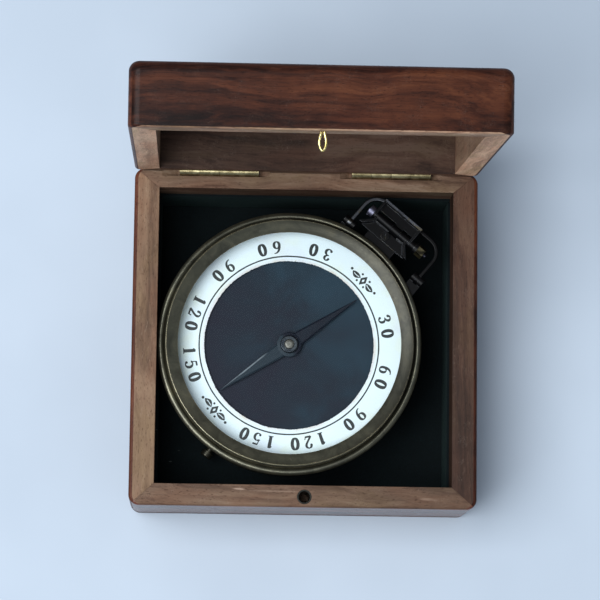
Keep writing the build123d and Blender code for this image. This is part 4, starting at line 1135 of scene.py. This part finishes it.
# radius, z of the turned boss
BOSS_PROFILE = [
    (BORE_RADIUS, NEEDLE_Z), (3.5, NEEDLE_Z), (3.6, NEEDLE_Z + 0.1), (3.6, NEEDLE_Z + 0.38),
    (3.5, NEEDLE_Z + 0.5), (3.3, NEEDLE_Z + 0.55), (2.75, NEEDLE_Z + 0.55),
    (2.62, NEEDLE_Z + 0.6), (2.6, NEEDLE_Z + 0.68), (2.56, NEEDLE_TOP),
    (BORE_RADIUS, NEEDLE_TOP),
]


def blade():
    """A slim lozenge with ground bevels"""
    cos, sin = math.cos(NEEDLE_BEARING), math.sin(NEEDLE_BEARING)
    rows = []
    for along in np.linspace(-NEEDLE_REACH, NEEDLE_REACH, 97):
        t = abs(along) / NEEDLE_REACH
        half = 2.25 * (1 - t) ** 0.96 + 0.07
        bevel = min(0.42, half * 0.45)
        top = NEEDLE_Z + 0.46 - 0.16 * t
        low = NEEDLE_Z + 0.12
        section = [(-half, NEEDLE_Z), (-half, low), (-half + bevel, top),
                   (half - bevel, top), (half, low), (half, NEEDLE_Z)]
        rows.append([(DRUM_X + cos * along - sin * across, DRUM_Y + sin * along + cos * across, z)
                     for across, z in section])
    return loft(rows, closed=False)


def bore():
    bm = bmesh.new()
    bmesh.ops.create_cone(
        bm, cap_ends=True, segments=BOSS_SEGMENTS, radius1=BORE_RADIUS * MM,
        radius2=BORE_RADIUS * MM, depth=4 * MM,
        matrix=Matrix.Translation((DRUM_X * MM, DRUM_Y * MM, NEEDLE_Z * MM)))
    return bm


def needle():
    """The blade, bored through and joined to its boss"""
    parts = [link_object(name, to_mesh(name, bm)) for name, bm in (
        ("blade", blade()), ("boss", spin(BOSS_SEGMENTS, lambda angle: BOSS_PROFILE)),
        ("bore", bore()))]
    body, boss, hole = parts
    for other, operation in ((hole, "DIFFERENCE"), (boss, "UNION")):
        modifier = body.modifiers.new(operation, "BOOLEAN")
        modifier.object = other
        modifier.operation = operation
        modifier.solver = "EXACT"
    depsgraph = bpy.context.evaluated_depsgraph_get()
    bm = bmesh.new()
    bm.from_mesh(bpy.data.meshes.new_from_object(body.evaluated_get(depsgraph)))
    for part in parts:
        bpy.data.objects.remove(part)
    bmesh.ops.remove_doubles(bm, verts=bm.verts, dist=1e-7)
    piece = new_piece("needle_blade", bm, NEEDLE_STEEL, "needle_assembly",
                      sharp_angle=24)
    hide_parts("needle")


needle()


# ------------------------------------------------------------------ floor, light, camera
def add_floor():
    bm = bmesh.new()
    bmesh.ops.create_grid(bm, x_segments=1, y_segments=1, size=4.0)
    mesh = bpy.data.meshes.new("floor")
    bm.to_mesh(mesh)
    bm.free()
    floor = link_object("floor", mesh)
    # a hair below the box, so that the two never share a plane
    floor.location.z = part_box("base_bottom_panel")[0].z - 0.00002
    mesh.materials.append(floor_material())


def add_world():
    world = bpy.data.worlds.new("studio")
    scene.world = world
    world.use_nodes = True
    background = world.node_tree.nodes["Background"]
    background.inputs["Color"].default_value = (0.78, 0.88, 1.0, 1)
    background.inputs["Strength"].default_value = 0.40


def add_window():
    """One large soft light, high on the left"""
    place = Vector((-0.44, -0.13, 0.98))
    target = Vector((-0.02, 0.0, 0.02))
    light = bpy.data.lights.new("window", "AREA")
    light.shape = "RECTANGLE"
    light.size = light.size_y = 0.8
    light.energy = 14.4
    light.color = (0.94, 0.975, 1.0)
    window = link_object("window", light)
    window.location = place
    window.rotation_mode = "QUATERNION"
    window.rotation_quaternion = (target - place).to_track_quat("-Z", "Y")


def add_camera():
    """Looks down from high above the front, slightly tilted"""
    place = np.array([-31.32, -109.64, 853.8]) * MM
    turn = np.radians([8.341, -2.126, 0.872])  # rotation vector, from looking straight down
    angle = np.linalg.norm(turn)
    x, y, z = turn / angle
    cross = np.array([[0, -z, y], [z, 0, -x], [-y, x, 0]])
    pose = np.eye(4)
    pose[:3, :3] += math.sin(angle) * cross + (1 - math.cos(angle)) * cross @ cross
    pose[:3, 3] = place
    data = bpy.data.cameras.new("camera")
    data.sensor_width = 36.0
    data.lens = 172.104
    data.clip_start = 0.05
    data.clip_end = 20.0
    camera = link_object("camera", data)
    camera.matrix_world = Matrix(pose.tolist())
    scene.camera = camera


add_floor()
add_world()
add_window()
add_camera()
scene.view_settings.view_transform = "Standard"
scene.view_settings.look = "None"
